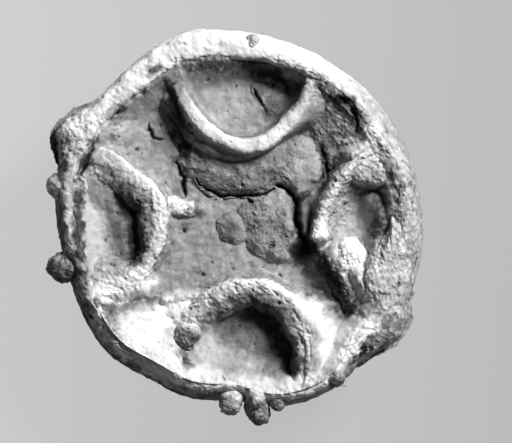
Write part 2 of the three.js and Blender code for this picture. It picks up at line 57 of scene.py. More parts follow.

# %% [markdown]
# ## Sizes from the frame, places from the photograph
# The levels come from the CAD nodes' boxes. Shapes that only the eye can find, such as the line of a
# crack, are written as points of the photograph in pixels, and one scale turns them
# into millimetres. The camera looks straight down, so this is a plain shift and scale.

# %% Levels and the photograph's scale
METRE = 1000.0
MM_PER_PIXEL = 0.113
MIDDLE_PIXEL = np.array([235.0, 225.0])
MIDDLE_MM = np.array([0.174, 0.129])
METAL_TONE, FIELD_TONE = 0.42, 0.53
# Cracks and pits are painted darker: dirt, and painted shade in the crease.
GROOVE_DARKNESS, SPOT_DARKNESS = 0.34, 0.25

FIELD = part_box("arc_wall_north")[0].z * METRE
PLATE_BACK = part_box("seal_plate")[0].z * METRE
RIM_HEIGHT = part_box("rim_wall")[1].z * METRE - FIELD
ARC_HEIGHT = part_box("arc_wall_north")[1].z * METRE - FIELD
print("field at", round(FIELD, 2), "rim height", round(RIM_HEIGHT, 2), "arc height", round(ARC_HEIGHT, 2))


def to_mm(pixels):
    """Pixels to millimetres: the offset from the disc's middle, times the scale, with y turned up."""
    offset = (np.asarray(pixels, float) - MIDDLE_PIXEL) * MM_PER_PIXEL
    return offset * [1, -1] + MIDDLE_MM


def to_pixels(mm):
    """Millimetres to pixels, the other way round."""
    return (np.asarray(mm, float) - MIDDLE_MM) / MM_PER_PIXEL * [1, -1] + MIDDLE_PIXEL


def with_height(places, height=0.0):
    """Places in the plane, with one height for all of them or one for each."""
    return np.concatenate([places, np.broadcast_to(height, places.shape[:-1])[..., None]], axis=-1)


def angles_round(count):
    """Angles at even steps, once round."""
    return np.arange(count) / count * 2 * np.pi


# %% [markdown]
# ## Noise that looks like metal from the ground
# Corrosion has no outline to draw, so it is grown from noise. Blender's own textures can push a mesh
# about, but worked out here the same noise can also colour the surface: a pit is deep and dark at once.
# Gradient noise gives slow swells, layers of it give stone, and cell noise gives grains.

# %% Gradient noise, clouds and grains
SWELL_GAIN = 1.6  # brings gradient noise to about -1 to 1
LAYER_STRENGTH = 0.55


def lattice_bits(cell, seed):
    """32 random bits for each whole-number place: products with odd numbers, then shifts and products."""
    x, y, z = (cell[..., k].astype(np.uint32) for k in range(3))
    bits = x * np.uint32(0x9E3779B1) + y * np.uint32(0x85EBCA77) + z * np.uint32(0xC2B2AE3D)
    bits = bits + np.uint32(seed * 0x27D4EB2F & 0xFFFFFFFF)
    bits = (bits ^ (bits >> np.uint32(15))) * np.uint32(0x2C1B3C6D)
    bits = (bits ^ (bits >> np.uint32(12))) * np.uint32(0x297A2D39)
    return bits ^ (bits >> np.uint32(15))


def three_shares(bits):
    """Three numbers from 0 to 1, from ten bits each."""
    return np.stack([(bits >> np.uint32(shift)) & np.uint32(1023) for shift in (0, 10, 20)], -1) / 1023.0


def swell(points, size, seed):
    """Gradient noise from about -1 to 1: a random slope at each lattice corner, blended between them."""
    place = points / size
    cell = np.floor(place).astype(np.int64)
    part = place - cell
    fade = part**3 * (part * (part * 6 - 15) + 10)
    total = np.zeros(points.shape[:-1])
    for corner in itertools.product((0, 1), repeat=3):
        slope = three_shares(lattice_bits(cell + corner, seed)) * 2 - 1
        weight = np.prod(np.where(corner, fade, 1 - fade), axis=-1)
        total += weight * np.sum(slope * (part - corner), axis=-1)
    return total * SWELL_GAIN


def cloud(points, size, layers, seed):
    """Layers of gradient noise, each half as large as the one before, and weaker by one share."""
    return sum(LAYER_STRENGTH**k * swell(points, size / 2**k, seed + k) for k in range(layers))


def grains(points, size, seed):
    """Cell noise: 1 in the middle of a grain, falling to about 0 where it meets the next one."""
    place = points / size
    cell = np.floor(place).astype(np.int64)
    nearest = np.full(points.shape[:-1], np.inf)
    for corner in itertools.product((-1, 0, 1), repeat=3):
        there = cell + corner
        gap = there + three_shares(lattice_bits(there, seed)) - place
        nearest = np.minimum(nearest, np.sum(gap * gap, axis=-1))
    return 1 - np.sqrt(nearest)


def ease(value, low, high):
    """0 below low, 1 above high, and a smooth step between."""
    share = np.clip((value - low) / (high - low), 0, 1)
    return share * share * (3 - 2 * share)


def blend(first, second, share):
    """The first value, plus a share of the way to the second."""
    return first + (second - first) * share


sample_swells = swell(with_height(np.stack(np.meshgrid(np.arange(40), np.arange(40)), axis=-1) * 0.37), 1.0, 1)
print("a swell runs from", round(sample_swells.min(), 2), "to", round(sample_swells.max(), 2))

# %% [markdown]
# ## Curves and distances
# Every wall follows a line that wavers, and every size along it changes slowly. One function draws a
# smooth curve through a few values, whether they are points or shares. Another gives the distance from
# any point to a line of straight pieces, which is all that a crack or a slope needs.

# %% Curves and distances
def curve_at(values, place, closed=False):
    """Smooth curve through evenly spaced values (Catmull-Rom), read at places counted in values."""
    values = np.asarray(values, float)
    place = np.asarray(place, float)
    index = np.floor(place).astype(int)
    part = (place - index).reshape(place.shape + (1,) * (values.ndim - 1))
    count = len(values)
    picks = [index + k for k in (-1, 0, 1, 2)]
    picks = [pick % count if closed else np.clip(pick, 0, count - 1) for pick in picks]
    a, b, c, d = (values[pick] for pick in picks)
    return b + 0.5 * part * (c - a + part * (2 * a - 5 * b + 4 * c - d + part * (3 * (b - c) + d - a)))


def round_the_disc(values, angle):
    """A value that changes round the disc, given at even steps from +X towards +Y."""
    return curve_at(values, angle / (2 * np.pi) * len(values), closed=True)


def along(values, count):
    """A value that changes along a path of that many stations, given at even steps."""
    return curve_at(values, np.linspace(0, len(values) - 1, count))


def even_path(points, spacing):
    """The smooth curve through the points, read again at even distances along it."""
    fine = along(points, len(points) * 40)
    travelled = np.concatenate([[0], np.cumsum(np.linalg.norm(np.diff(fine, axis=0), axis=1))])
    stations = np.linspace(0, travelled[-1], int(travelled[-1] / spacing) + 2)
    return np.stack([np.interp(stations, travelled, fine[:, k]) for k in range(2)], axis=-1)


def path_distance(places, path):
    """Distance to a line of straight pieces, and how far along it the nearest point is, from 0 to 1."""
    path = np.asarray(path, float)
    nearest = np.full(places.shape[:-1], np.inf)
    share = np.zeros(places.shape[:-1])
    for k, (start, end) in enumerate(zip(path[:-1], path[1:])):
        step = end - start
        part = np.clip((places - start) @ step / (step @ step), 0, 1)
        gap = np.linalg.norm(places - start - part[..., None] * step, axis=-1)
        share = np.where(gap < nearest, (k + part) / (len(path) - 1), share)
        nearest = np.minimum(nearest, gap)
    return nearest, share


print("middle of a curve through 0, 0, 1 and 1:", float(curve_at([0, 0, 1, 1], 1.5)))

# %% [markdown]
# ## From a grid of points to a closed mesh
# All pieces but the field are rings of points along a path: the rings close round the piece, and each
# end closes in a pole. Quads between neighbours are easy to number as arrays. One check saves trouble
# later: normals must point outwards, which the sign of the enclosed volume tells. The triangles are
# counted too. Each point also carries a tone, its share of paleness, for the material.

# %% Mesh from rings
pieces = {}
slots = {}
triangle_count = 0


def make_mesh(name, points, quads, triangles, tone, nodes):
    """Puts points, quads and triangles into a mesh that faces outwards, and ties it to the frame."""
    global triangle_count
    corners = np.concatenate([quads[:, [0, 1, 2]], quads[:, [0, 2, 3]], triangles])
    a, b, c = (points[corners[:, k]] for k in range(3))
    if np.sum(a * np.cross(b, c)) < 0:
        quads, triangles = quads[:, ::-1], triangles[:, ::-1]
    mesh = bpy.data.meshes.new(name)
    mesh.vertices.add(len(points))
    mesh.vertices.foreach_set("co", (points / METRE).ravel())
    mesh.loops.add(quads.size + triangles.size)
    mesh.loops.foreach_set("vertex_index", np.concatenate([quads.ravel(), triangles.ravel()]))
    mesh.polygons.add(len(quads) + len(triangles))
    triangle_starts = quads.size + 3 * np.arange(len(triangles))
    mesh.polygons.foreach_set("loop_start", np.concatenate([4 * np.arange(len(quads)), triangle_starts]))
    mesh.update(calc_edges=True)
    mesh.shade_smooth()
    mesh.attributes.new("tone", "FLOAT", "POINT").data.foreach_set("value", np.clip(tone, 0.02, 1).ravel())
    piece = bpy.data.objects.new(name + "_surface", mesh)
    bpy.context.scene.collection.objects.link(piece)
    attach(piece, "root")
    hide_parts(*nodes)
    slots[name] = slot_of[nodes[0]]
    pieces[name] = piece
    triangle_count += len(corners)
    print(f"{name}: {len(corners)} triangles")


def make_piece(name, rings, tone, nodes, joined=False):
    """Closed surface through rings of points. Joined rings make a loop, others get a pole at each end."""
    stations, columns = rings.shape[:2]
    points = rings.reshape(-1, 3)
    tone = np.broadcast_to(tone, (stations, columns)).ravel()
    here = np.arange(stations * columns).reshape(stations, columns)
    beside = np.roll(here, -1, axis=1)
    last = stations if joined else stations - 1
    below, below_beside = np.roll(here, -1, axis=0), np.roll(beside, -1, axis=0)
    quads = np.stack([here, beside, below_beside, below], axis=-1)[:last].reshape(-1, 4)
    triangles = np.zeros((0, 3), int)
    if not joined:
        poles = np.array([rings[0].mean(axis=0), rings[-1].mean(axis=0)])
        first_fan = np.stack([beside[0], here[0], np.full(columns, len(points))], axis=-1)
        last_fan = np.stack([here[-1], beside[-1], np.full(columns, len(points) + 1)], axis=-1)
        triangles = np.concatenate([first_fan, last_fan])
        points = np.concatenate([points, poles])
        tone = np.concatenate([tone, [tone[0], tone[-1]]])
    make_mesh(name, points, quads, triangles, tone, nodes)


# %% [markdown]
# ## Dirt, lime, painted shade and light, and roughness
# What the ground did to the seal doesn't stop where one piece meets the next, and that is what makes the
# real one look like one casting. So dirt and lime are brushed over the whole face, and with them painted
# shadows in the hollows and under the walls, and painted light on slopes that face the lamp: each stroke
# is a few points of the photograph, a width, and how much paler or darker it makes the surface. Roughness
# is brushed on the same way: hollow floors are smooth, while the east bank and the arc walls' feet crumble.

# %% Strokes of dirt, lime, painted shade and painted light
# Darkening strokes are partly dirt and many are painted shadows in the hollows and at the walls' feet; paling strokes
# are lime and painted light on slopes that face the lamp.
DIRT_LIME_AND_PAINTED_LIGHT = [  # points in pixels, half width in pixels, change of tone
    ([(123, 196), (131, 215), (136, 238), (137, 258)], 9, -0.34),
    ([(140, 205), (147, 225), (146, 250)], 5, -0.2),
    ([(106, 168), (122, 178), (136, 190), (146, 204)], 8, -0.12),
    ([(171, 92), (173, 108), (177, 130), (185, 152)], 6, -0.34),
    ([(92, 178), (102, 196), (108, 214)], 12, 0.12), ([(186, 118), (196, 134)], 5, 0.06),
    ([(248, 66), (275, 74), (296, 92)], 7, -0.34), ([(256, 310), (274, 326), (284, 344), (292, 366)], 9, -0.3),
    ([(228, 300), (250, 296), (272, 306), (288, 322)], 5, -0.16),
    ([(302, 250), (314, 272), (328, 296), (340, 314)], 14, -0.34),
    ([(168, 82), (176, 108), (188, 134)], 6, -0.25), ([(104, 298), (142, 291)], 8, 0.3),
    ([(97, 320), (108, 338)], 8, 0.35), ([(164, 312), (190, 318)], 12, 0.3),
    ([(334, 372), (350, 356), (362, 344)], 8, -0.3), ([(305, 200), (308, 226)], 8, -0.3),
    ([(344, 262), (362, 266)], 16, 0.25), ([(298, 308), (308, 340), (308, 376)], 6, 0.2),
    ([(240, 330), (264, 344), (284, 364)], 20, -0.13), ([(222, 330), (240, 322)], 10, -0.08),
    ([(378, 196), (380, 212), (374, 232)], 7, -0.3), ([(366, 186), (392, 187), (410, 184)], 3.5, -0.3),
    ([(298, 200), (296, 214), (301, 236)], 4, -0.3), ([(308, 206), (311, 226)], 8, 0.1),
    ([(306, 246), (316, 262), (330, 282)], 12, -0.4), ([(328, 276), (346, 306)], 10, -0.26),
    ([(319, 229), (320, 241)], 8, 0.4), ([(350, 246), (347, 266)], 10, 0.3),
    ([(336, 98), (350, 100), (357, 112), (360, 128)], 5, -0.3),
    ([(322, 150), (327, 172), (324, 194)], 5, -0.26), ([(230, 146), (205, 134), (188, 108)], 3, -0.1),
    ([(97, 134), (90, 150), (82, 172)], 3.5, -0.34), ([(150, 318), (134, 330), (126, 345)], 17, 0.34),
    ([(165, 340), (148, 354), (172, 368)], 19, 0.34), ([(126, 352), (156, 371), (196, 389)], 9, 0.3),
    ([(166, 300), (184, 298), (202, 296)], 7, 0.24), ([(104, 289), (124, 290), (146, 280)], 13, 0.34),
    ([(82, 276), (92, 300)], 8, -0.3), ([(350, 348), (358, 336), (367, 326)], 9, 0.36),
    ([(346, 276), (366, 288), (362, 304)], 10, 0.08), ([(310, 62), (340, 84), (362, 104)], 5, 0.1),
    ([(318, 78), (334, 92), (350, 108)], 9, -0.16), ([(300, 84), (308, 92)], 7, -0.12),
    ([(183, 356), (188, 366)], 6, -0.34), ([(176, 330), (192, 340)], 11, -0.2),
    ([(186, 314), (206, 313)], 5, -0.16), ([(80, 178), (78, 214), (80, 256)], 5, -0.36),
    ([(62, 206), (64, 246)], 3, -0.2), ([(67, 208), (68, 252)], 4, 0.3), ([(86, 286), (100, 318)], 5, 0.1),
    ([(196, 374), (225, 384), (260, 389), (296, 386)], 11, 0.32),
    ([(298, 386), (322, 380), (342, 366)], 10, 0.36), ([(206, 340), (212, 360)], 14, 0.14),
    ([(320, 312), (336, 330), (345, 348), (330, 352)], 15, 0.42),
    ([(266, 288), (286, 294), (302, 308)], 5, 0.2), ([(316, 304), (300, 296)], 6, 0.2),
    ([(352, 324), (372, 326)], 7, 0.24), ([(108, 303), (128, 307), (150, 303)], 7, -0.2),
    ([(150, 298), (157, 314)], 5, -0.22), ([(110, 296), (112, 318)], 6, -0.08),
    ([(180, 160), (186, 180), (178, 200)], 8, -0.1), ([(92, 200), (94, 235), (98, 262)], 12, 0.14),
    ([(220, 110), (236, 92)], 18, 0.06), ([(205, 175), (230, 183), (256, 184), (276, 176)], 12, -0.1),
    ([(300, 160), (308, 172)], 12, 0.04), ([(104, 116), (114, 110), (122, 108)], 5, -0.4),
    ([(190, 72), (206, 66), (230, 70)], 4, -0.14), ([(118, 134), (108, 130), (98, 126)], 11, 0.25),
    ([(172, 312), (198, 306)], 12, 0.2), ([(151, 71), (159, 68)], 5, -0.4), ([(164, 62), (176, 60)], 6, 0.2),
    ([(400, 190), (412, 230), (408, 280)], 7, -0.1), ([(356, 216), (378, 212)], 10, 0.06),
    ([(340, 240), (348, 226)], 8, 0.1), ([(345, 200), (340, 225)], 10, 0.06),
    ([(270, 110), (284, 100)], 9, -0.14), ([(100, 246), (104, 262)], 5, -0.04),
    ([(183, 232), (187, 224)], 3, -0.14), ([(203, 274), (196, 268)], 3, -0.1),
    ([(172, 245), (170, 262)], 5, -0.08), ([(232, 228), (226, 236)], 7, -0.1),
    ([(250, 214), (280, 236)], 14, -0.06), ([(64, 140), (60, 152), (64, 166)], 7, -0.34),
    ([(74, 150), (80, 158)], 5, -0.22), ([(75, 122), (98, 112)], 7, 0.16), ([(150, 66), (156, 70)], 5, -0.34),
    ([(378, 168), (392, 172)], 8, -0.2), ([(364, 172), (400, 178)], 4, -0.16),
    ([(356, 146), (372, 142), (372, 132)], 11, 0.3), ([(376, 158), (390, 176), (384, 192)], 9, 0.14),
    ([(366, 335), (384, 322)], 8, -0.12), ([(392, 318), (400, 325)], 6, -0.16),
    ([(352, 356), (372, 342), (392, 336)], 5, -0.2), ([(357, 350), (380, 318)], 3, 0.24),
]
print("strokes of dirt, lime and painted light:", len(DIRT_LIME_AND_PAINTED_LIGHT))

# %% Rough places, and how a stroke is brushed on
ROUGH_PLACES = [  # points in pixels, half width in pixels, share of full roughness
    ([(150, 202), (156, 232), (148, 262), (128, 280), (98, 290)], 18, 1.0), ([(158, 205), (192, 204)], 11, 0.9),
    ([(180, 345), (190, 318), (208, 300), (240, 288), (270, 288)], 16, 0.9),
    ([(294, 310), (308, 340)], 10, 0.8), ([(372, 152), (350, 172), (326, 205), (318, 238)], 15, 0.9),
    ([(400, 150), (412, 190)], 14, 0.6), ([(398, 220), (388, 260), (372, 300), (384, 318)], 26, 1.0),
    ([(352, 258), (350, 290)], 16, 0.8), ([(330, 95), (345, 130), (335, 165)], 22, 0.9),
    ([(372, 108), (398, 140)], 18, 0.7), ([(62, 140), (64, 170), (60, 190)], 16, 0.9),
    ([(66, 215), (64, 270)], 12, 0.8), ([(108, 310), (120, 345)], 20, 0.7),
    ([(200, 178), (245, 184), (280, 170)], 20, 0.7), ([(262, 215), (282, 240)], 24, 0.7),
    ([(375, 335), (400, 318)], 22, 0.9), ([(400, 140), (409, 180), (412, 230), (408, 280)], 14, 1.0),
    ([(346, 350), (360, 334), (372, 320)], 15, 1.0), ([(352, 150), (376, 130)], 16, 1.0),
    ([(92, 122), (120, 128)], 14, 0.8), ([(96, 172), (140, 200)], 12, 0.7),
    ([(296, 315), (306, 345), (306, 372)], 8, 1.0), ([(190, 398), (260, 408), (330, 385)], 14, 0.8),
    ([(190, 130), (180, 160)], 10, 0.8), ([(76, 280), (100, 340), (150, 382), (215, 404)], 9, 0.8),
    ([(176, 62), (210, 66), (240, 66)], 12, 0.8), ([(164, 300), (204, 296)], 10, 1.0),
    ([(300, 70), (330, 84)], 14, 0.9), ([(110, 108), (145, 86)], 8, 0.7), ([(160, 68), (300, 66)], 6, 0.5),
]
STROKE_EDGE = 1.35  # a stroke has faded out at this many half widths
STROKE_WANDER = 4.5  # how far noise pushes a stroke's edge, in pixels
print("rough places:", len(ROUGH_PLACES))


def brushed(places, strokes, soft=0.45):
    """Sum of the strokes at places in pixels: full in a stroke's middle, fading across its width."""
    total = np.zeros(places.shape[:-1])
    low, high = places.reshape(-1, 2).min(axis=0), places.reshape(-1, 2).max(axis=0)
    for points, half_width, amount in strokes:
        path = np.array(points, float)
        if np.any(path.max(axis=0) + 2 * half_width < low) or np.any(path.min(axis=0) - 2 * half_width > high):
            continue
        total += amount * (1 - ease(path_distance(places, path)[0] / half_width, soft, STROKE_EDGE))
    return total


def warped_pixels(points):
    """Each point's place in the photograph, pushed about by noise so that no stroke has a neat edge."""
    push = np.stack([cloud(points, 1.1, 3, 301), cloud(points, 1.1, 3, 305)], axis=-1)
    return to_pixels(points[..., :2]) + STROKE_WANDER * push


# %% [markdown]
# ## Weather
# The same weather falls on every piece: slow swells, a crumbling grain, and pits. Each point moves along
# its own normal, so the grain wraps round a crest and down its sides alike. The grains are cells whose
# places are warped first, which turns neat bubbles into crumbs, at two sizes. What the weather did is
# handed back, because pits are painted darker, partly for dirt and partly as painted shade, and the tops
# of grains are rubbed pale.

# %% Weathering of a grid of points
RIPPLE = 0.09  # height in mm of the ripples that every surface has
GRAIN_SIZES = 1.05, 0.56
GRAIN_WARP = 0.3
GRAIN_LEVEL = 0.45  # the mean of a grain, taken off so that crumbs go up and down
# The pit tones here darken every pit, on the face and on the bare metal: partly dirt, partly painted shade.
BLOTCH_TONE, CRUMB_TONE, PIT_DIRT_AND_SHADE_TONE = 0.11, 0.24, 0.2
METAL_BLOTCH, METAL_PIT_DIRT_AND_SHADE = 0.1, 0.25


def grid_normals(rings, joined):
    """Unit normals: the cross product of the step round a ring and the step to the next ring."""
    across = np.roll(rings, -1, axis=1) - np.roll(rings, 1, axis=1)
    steps = np.roll(rings, -1, axis=0) - np.roll(rings, 1, axis=0)
    if not joined:
        steps[0] = rings[1] - rings[0]
        steps[-1] = rings[-1] - rings[-2]
    normals = np.cross(across, steps)
    normals /= np.linalg.norm(normals, axis=-1, keepdims=True) + 1e-9
    return normals


def crumble(points):
    """Crumbs from about -1 to 1: warped grains at two sizes, and a little of a finer swell."""
    warp = np.stack([swell(points, 0.6, seed) for seed in (311, 312, 313)], axis=-1)
    coarse, middling = (grains(points + GRAIN_WARP * warp, size, 321 + k) - GRAIN_LEVEL
                        for k, size in enumerate(GRAIN_SIZES))
    return 0.75 * coarse + 0.75 * middling + 0.3 * swell(points, 0.34, 323)


def weather(rings, swell_height=0.1, grain_height=0.23, least_rough=0.16, pit_depth=0.17, pit_share=0.2,
            joined=False, turn=1, lean=1.0):
    """Moves points along their normals, out by swells and crumbs and in at pits. Returns crumbs and pits too.

    turn is -1 where the normals would point inwards, and lean takes from the push sideways.
    """
    normals = grid_normals(rings, joined) * turn
    normals[..., :2] *= lean
    rough = np.clip(brushed(warped_pixels(rings), ROUGH_PLACES), least_rough, 1)
    crumbs = crumble(rings)
    pits = ease(cloud(rings, 1.0, 4, 331) + 0.3 * (rough - 0.5), 0.9 - pit_share, 1.3 - pit_share)
    push = swell_height * cloud(rings, 2.8, 2, 341) + RIPPLE * cloud(rings, 1.1, 3, 345)
    push = push + grain_height * rough * crumbs - pit_depth * pits
    return rings + normals * push[..., None], crumbs * rough, pits


def mottle(points):
    """Blotches of paler and darker corrosion, from about -1 to 1: large clouds and small ones."""
    return 0.5 * cloud(points, 2.4, 3, 351) + 0.6 * cloud(points, 0.8, 2, 355)


def stained_and_painted_light(points, tone, crumbs, pits):
    """A tone after the strokes of dirt, lime, painted shade and painted light, the blotches, the rubbed tops of
    crumbs, and pits darkened for dirt and painted shade.
    """
    # The strokes add dirt, lime, painted shade and painted light to the tone.
    brushing = brushed(warped_pixels(points), DIRT_LIME_AND_PAINTED_LIGHT)
    speck_share = np.clip(np.abs(crumbs) * 2.4, 0.12, 1)
    specks = speck_share * (0.2 * swell(points, 0.42, 361) + 0.26 * swell(points, 0.8, 365))
    return tone + brushing + BLOTCH_TONE * mottle(points) + CRUMB_TONE * crumbs + specks - PIT_DIRT_AND_SHADE_TONE * pits


def bare_metal(points, tone, crumbs, pits, crumb_tone):
    """A tone on the sides that the ground left cleaner: blotches, rubbed crumbs, and pits darkened for dirt and
    painted shade.
    """
    return tone + METAL_BLOTCH * mottle(points) + crumb_tone * crumbs - METAL_PIT_DIRT_AND_SHADE * pits


# %% [markdown]
# ## Outline of the disc
# The seal's outline is worn and uneven, and the CAD plate already has it. So it is measured there: the
# farthest corner of the plate's mesh in each direction. The rim, the field and the plate's edge all
# follow it, which keeps them together if the CAD changes.

# %% Measure the plate's outline
OUTLINE_STEPS = 96
OUTLINE_SECTOR = 0.02  # half the angle in which each reading looks, in radians
plate_corners = np.array([corner.co for corner in frame["nodes"]["seal_plate"].data.vertices]) * METRE
corner_angle = np.arctan2(plate_corners[:, 1] - MIDDLE_MM[1], plate_corners[:, 0] - MIDDLE_MM[0])
corner_reach = np.hypot(plate_corners[:, 1] - MIDDLE_MM[1], plate_corners[:, 0] - MIDDLE_MM[0])
outline_radii = np.array([
    corner_reach[np.cos(corner_angle - 2 * np.pi * k / OUTLINE_STEPS) > np.cos(OUTLINE_SECTOR)].max()
    for k in range(OUTLINE_STEPS)
])
# The worn outline bulges a little more than the CAD's, in mm, every 15 degrees from +X towards +Y
OUTLINE_SWELL = [0.15, 0.1, 0, 0, 0, 0.1, 0.05, 0.45, 0.4, 0.05, 0.1, 0.25, 0.3, 0.05, 0.4, 0.3, 0.25, 0.25, 0.1, 0.15,
                 0, 0, 0, 0.1]
outline_radii += curve_at(OUTLINE_SWELL, np.arange(OUTLINE_STEPS) * len(OUTLINE_SWELL) / OUTLINE_STEPS, closed=True)
print("outline radius in mm:", round(outline_radii.min(), 2), "to", round(outline_radii.max(), 2))


def polar(radius, angle):
    """Point of the disc at a radius and angle round its middle."""
    return np.stack([radius * np.cos(angle), radius * np.sin(angle)], axis=-1) + MIDDLE_MM


# %% [markdown]
# ## The rim
# On the real seal the rim is one cast strip, taller than wide, with a sloping outer side, a rubbed crest
# and a steeper inner side. A curve with a bevel would give the same section all round. Here the section's
# controls change with the angle, because the wall is broad and grainy on the right, and worn low at the
# foot. A closed B-spline rounds each section.

# %% Sections
def rounded(controls, columns):
    """Closed quadratic B-spline: each point is the weighted mean of three neighbouring controls."""
    count = controls.shape[-2]
    place = np.arange(columns) / columns * count
    index = np.floor(place).astype(int)
    part = place - index
    weights = np.zeros((columns, count))
    rows = np.arange(columns)
    weights[rows, (index - 1) % count] += 0.5 * (1 - part) ** 2
    weights[rows, index % count] += 0.5 + part - part**2
    weights[rows, (index + 1) % count] += 0.5 * part**2
    return np.einsum("ck,...kd->...cd", weights, controls)


# %% Rim wall
# Each table goes round the disc in steps of 15 degrees, from +X towards +Y. Widths are in mm.
LIP = 0.12  # how far the rim's foot stands in from the outline, in mm
SLOPE_WIDTHS = [1.0, 1.0, 1.1, 1.2, 1.2, 1.0, 0.8, 0.35, 0.22, 0.22, 0.25, 0.6,
                0.8, 0.8, 1.1, 1.3, 1.4, 1.3, 1.2, 0.8, 0.7, 1.2, 1.2, 1.1]
CREST_WIDTHS = [1.5, 1.5, 1.5, 1.4, 1.3, 1.6, 2.2, 2.7, 2.6, 2.1, 1.9, 1.4,
                1.3, 1.3, 1.3, 1.2, 1.1, 1.0, 0.9, 1.0, 1.2, 1.3, 1.4, 1.5]
HEIGHT_SHARES = [0.94, 0.94, 0.94, 0.97, 1, 1, 1, 1, 1, 1, 1, 1,
                 1, 0.96, 0.9, 0.84, 0.8, 0.76, 0.74, 0.78, 0.86, 0.94, 0.94, 0.94]
CREST_TONES = [0.66, 0.68, 0.66, 0.66, 0.8, 0.95, 1, 1, 1, 1, 0.95, 0.66,
               0.56, 0.5, 0.84, 0.88, 0.86, 0.84, 0.8, 0.7, 0.9, 0.8, 0.7, 0.66]
# Tones of the rim's outer side: mottled corrosion, with painted shade on the west and south sides that face away from
# the lamp, and painted light on the north sides.
SIDE_TONES_WITH_PAINTED_LIGHT = [0.55, 0.52, 0.55, 0.66, 0.86, 0.98, 1, 1, 1, 1, 0.85, 0.42,
              0.32, 0.32, 0.3, 0.24, 0.24, 0.26, 0.3, 0.36, 0.42, 0.48, 0.55, 0.6]
INNER_TAPER = 0.55
NOISE_RADIUS = 20
RIM_WAVER = 0.24
CREST_FROM = 0.66  # share of the height where a crest's tone begins
RIM_STATIONS, RIM_COLUMNS = 1020, 92


def disc_radius(angle):
    """Radius of the worn outline at an angle, from its measured radii."""
    return round_the_disc(outline_radii, angle)


def crest_middle(angle):
    """Radius of the middle of the rim's crest: the outline less the lip, the slope and half the crest."""
    inset = LIP + round_the_disc(SLOPE_WIDTHS, angle) + round_the_disc(CREST_WIDTHS, angle) / 2
    return disc_radius(angle) - inset


def rim_foot(angle):
    """Radius of the foot of the rim's inner side: half a crest and the taper further in."""
    return crest_middle(angle) - round_the_disc(CREST_WIDTHS, angle) / 2 - INNER_TAPER


# Insets from the outline and heights above the field, from the outer foot over the crest to the inner foot
rim_angle = -angles_round(RIM_STATIONS)
rim_round = with_height(polar(NOISE_RADIUS, rim_angle) - MIDDLE_MM)
rim_waver = RIM_WAVER * cloud(rim_round, 4, 2, 5)
slope = LIP + round_the_disc(SLOPE_WIDTHS, rim_angle) + rim_waver
crest = slope + round_the_disc(CREST_WIDTHS, rim_angle) - rim_waver
inner = crest + INNER_TAPER * (1 + 0.4 * cloud(rim_round, 3, 2, 9))
height = RIM_HEIGHT * round_the_disc(HEIGHT_SHARES, rim_angle) + 0.7 * rim_waver
rim_controls = np.stack([np.stack([inset + 0 * rim_angle, level + 0 * rim_angle], axis=-1) for inset, level in [
    (LIP + 0.5, -0.6), (LIP, 0), ((LIP + slope) / 2 - 0.25, 0.5 * height), (slope - 0.1, 0.9 * height),
    (slope + 0.25, height), ((slope + crest) / 2, height + 0.06), (crest - 0.25, height),
    (crest + 0.05, 0.88 * height), ((crest + inner) / 2, 0.45 * height), (inner, 0), (inner + 0.2, -0.7),
]], axis=1)
rim_section = rounded(rim_controls, RIM_COLUMNS)
rim_xy = polar(disc_radius(rim_angle)[:, None] - rim_section[..., 0], rim_angle[:, None])
rim_rings = with_height(rim_xy, FIELD + rim_section[..., 1])
rim_rings, rim_crumbs, rim_pits = weather(rim_rings, swell_height=0.2, least_rough=0.55, joined=True)
rim_rise = (rim_rings[..., 2] - FIELD) / height[:, None]
rim_inward = ease(rim_section[..., 0], crest[:, None] - 0.3, crest[:, None] + 0.3)
# The outer side takes those tones, painted shade and painted light included.
outer_tone_with_painted_light = np.broadcast_to(round_the_disc(SIDE_TONES_WITH_PAINTED_LIGHT, rim_angle)[:, None], rim_rise.shape)
crest_tone = round_the_disc(CREST_TONES, rim_angle)[:, None]
rim_side = blend(outer_tone_with_painted_light, METAL_TONE, rim_inward)
rim_tone = blend(rim_side, crest_tone, ease(rim_rise + 0.08 * mottle(rim_rings), CREST_FROM, 0.95))
rim_tone = stained_and_painted_light(rim_rings, rim_tone, rim_crumbs, rim_pits)
make_piece("rim", rim_rings, rim_tone, ["rim_wall"], joined=True)

# %% [markdown]
# ## The arc walls
# Four strips bow in from the rim, and the east one is broken in two. Their crests are drawn as a few
# points of the photograph each, from one end to the other. The section isn't the same all along: on one
# stretch the hollow's side drops straight down, and on the next it steps down over a shoulder of crust. So
# each wall has a few key sections, and every section between them is a blend. A free end is rounded by
# drawing the section in over its last stretch, as a quarter circle does.

# %% Key sections
# A key section goes over the wall from its left foot to its right foot, seen along the path: places across
# the path in mm and heights as shares of the wall's, for foot, mid side, shoulder, brow, crest, brow,
# shoulder, mid side, foot
PLAIN = [(-1.6, 0.0), (-1.15, 0.3), (-1.0, 0.68), (-0.75, 0.98), (0, 1.0), (0.75, 0.98), (1.0, 0.68), (1.15, 0.3),
         (1.6, 0.0)]
BROAD = [(-2.6, 0.0), (-1.7, 0.34), (-1.35, 0.68), (-1.0, 0.94), (0, 1.0), (1.0, 0.94), (1.35, 0.68), (1.7, 0.34),
         (2.6, 0.0)]
SPREAD = [(-2.9, 0.0), (-2.1, 0.4), (-1.6, 0.72), (-1.0, 0.95), (0, 1.0), (1.0, 0.96), (1.8, 0.9), (2.5, 0.7),
          (3.1, 0.2)]
RIGHT_SHOULDER = [(-1.9, 0.0), (-1.2, 0.35), (-1.0, 0.7), (-0.7, 0.98), (0, 1.0), (0.7, 0.96), (2.0, 0.8),
                  (2.5, 0.4), (2.6, 0.0)]
RIGHT_SLOPE = [(-1.9, 0.0), (-1.2, 0.35), (-1.0, 0.7), (-0.7, 0.98), (0, 1.0), (0.7, 0.94), (1.9, 0.82),
               (2.7, 0.62), (3.1, 0.0)]
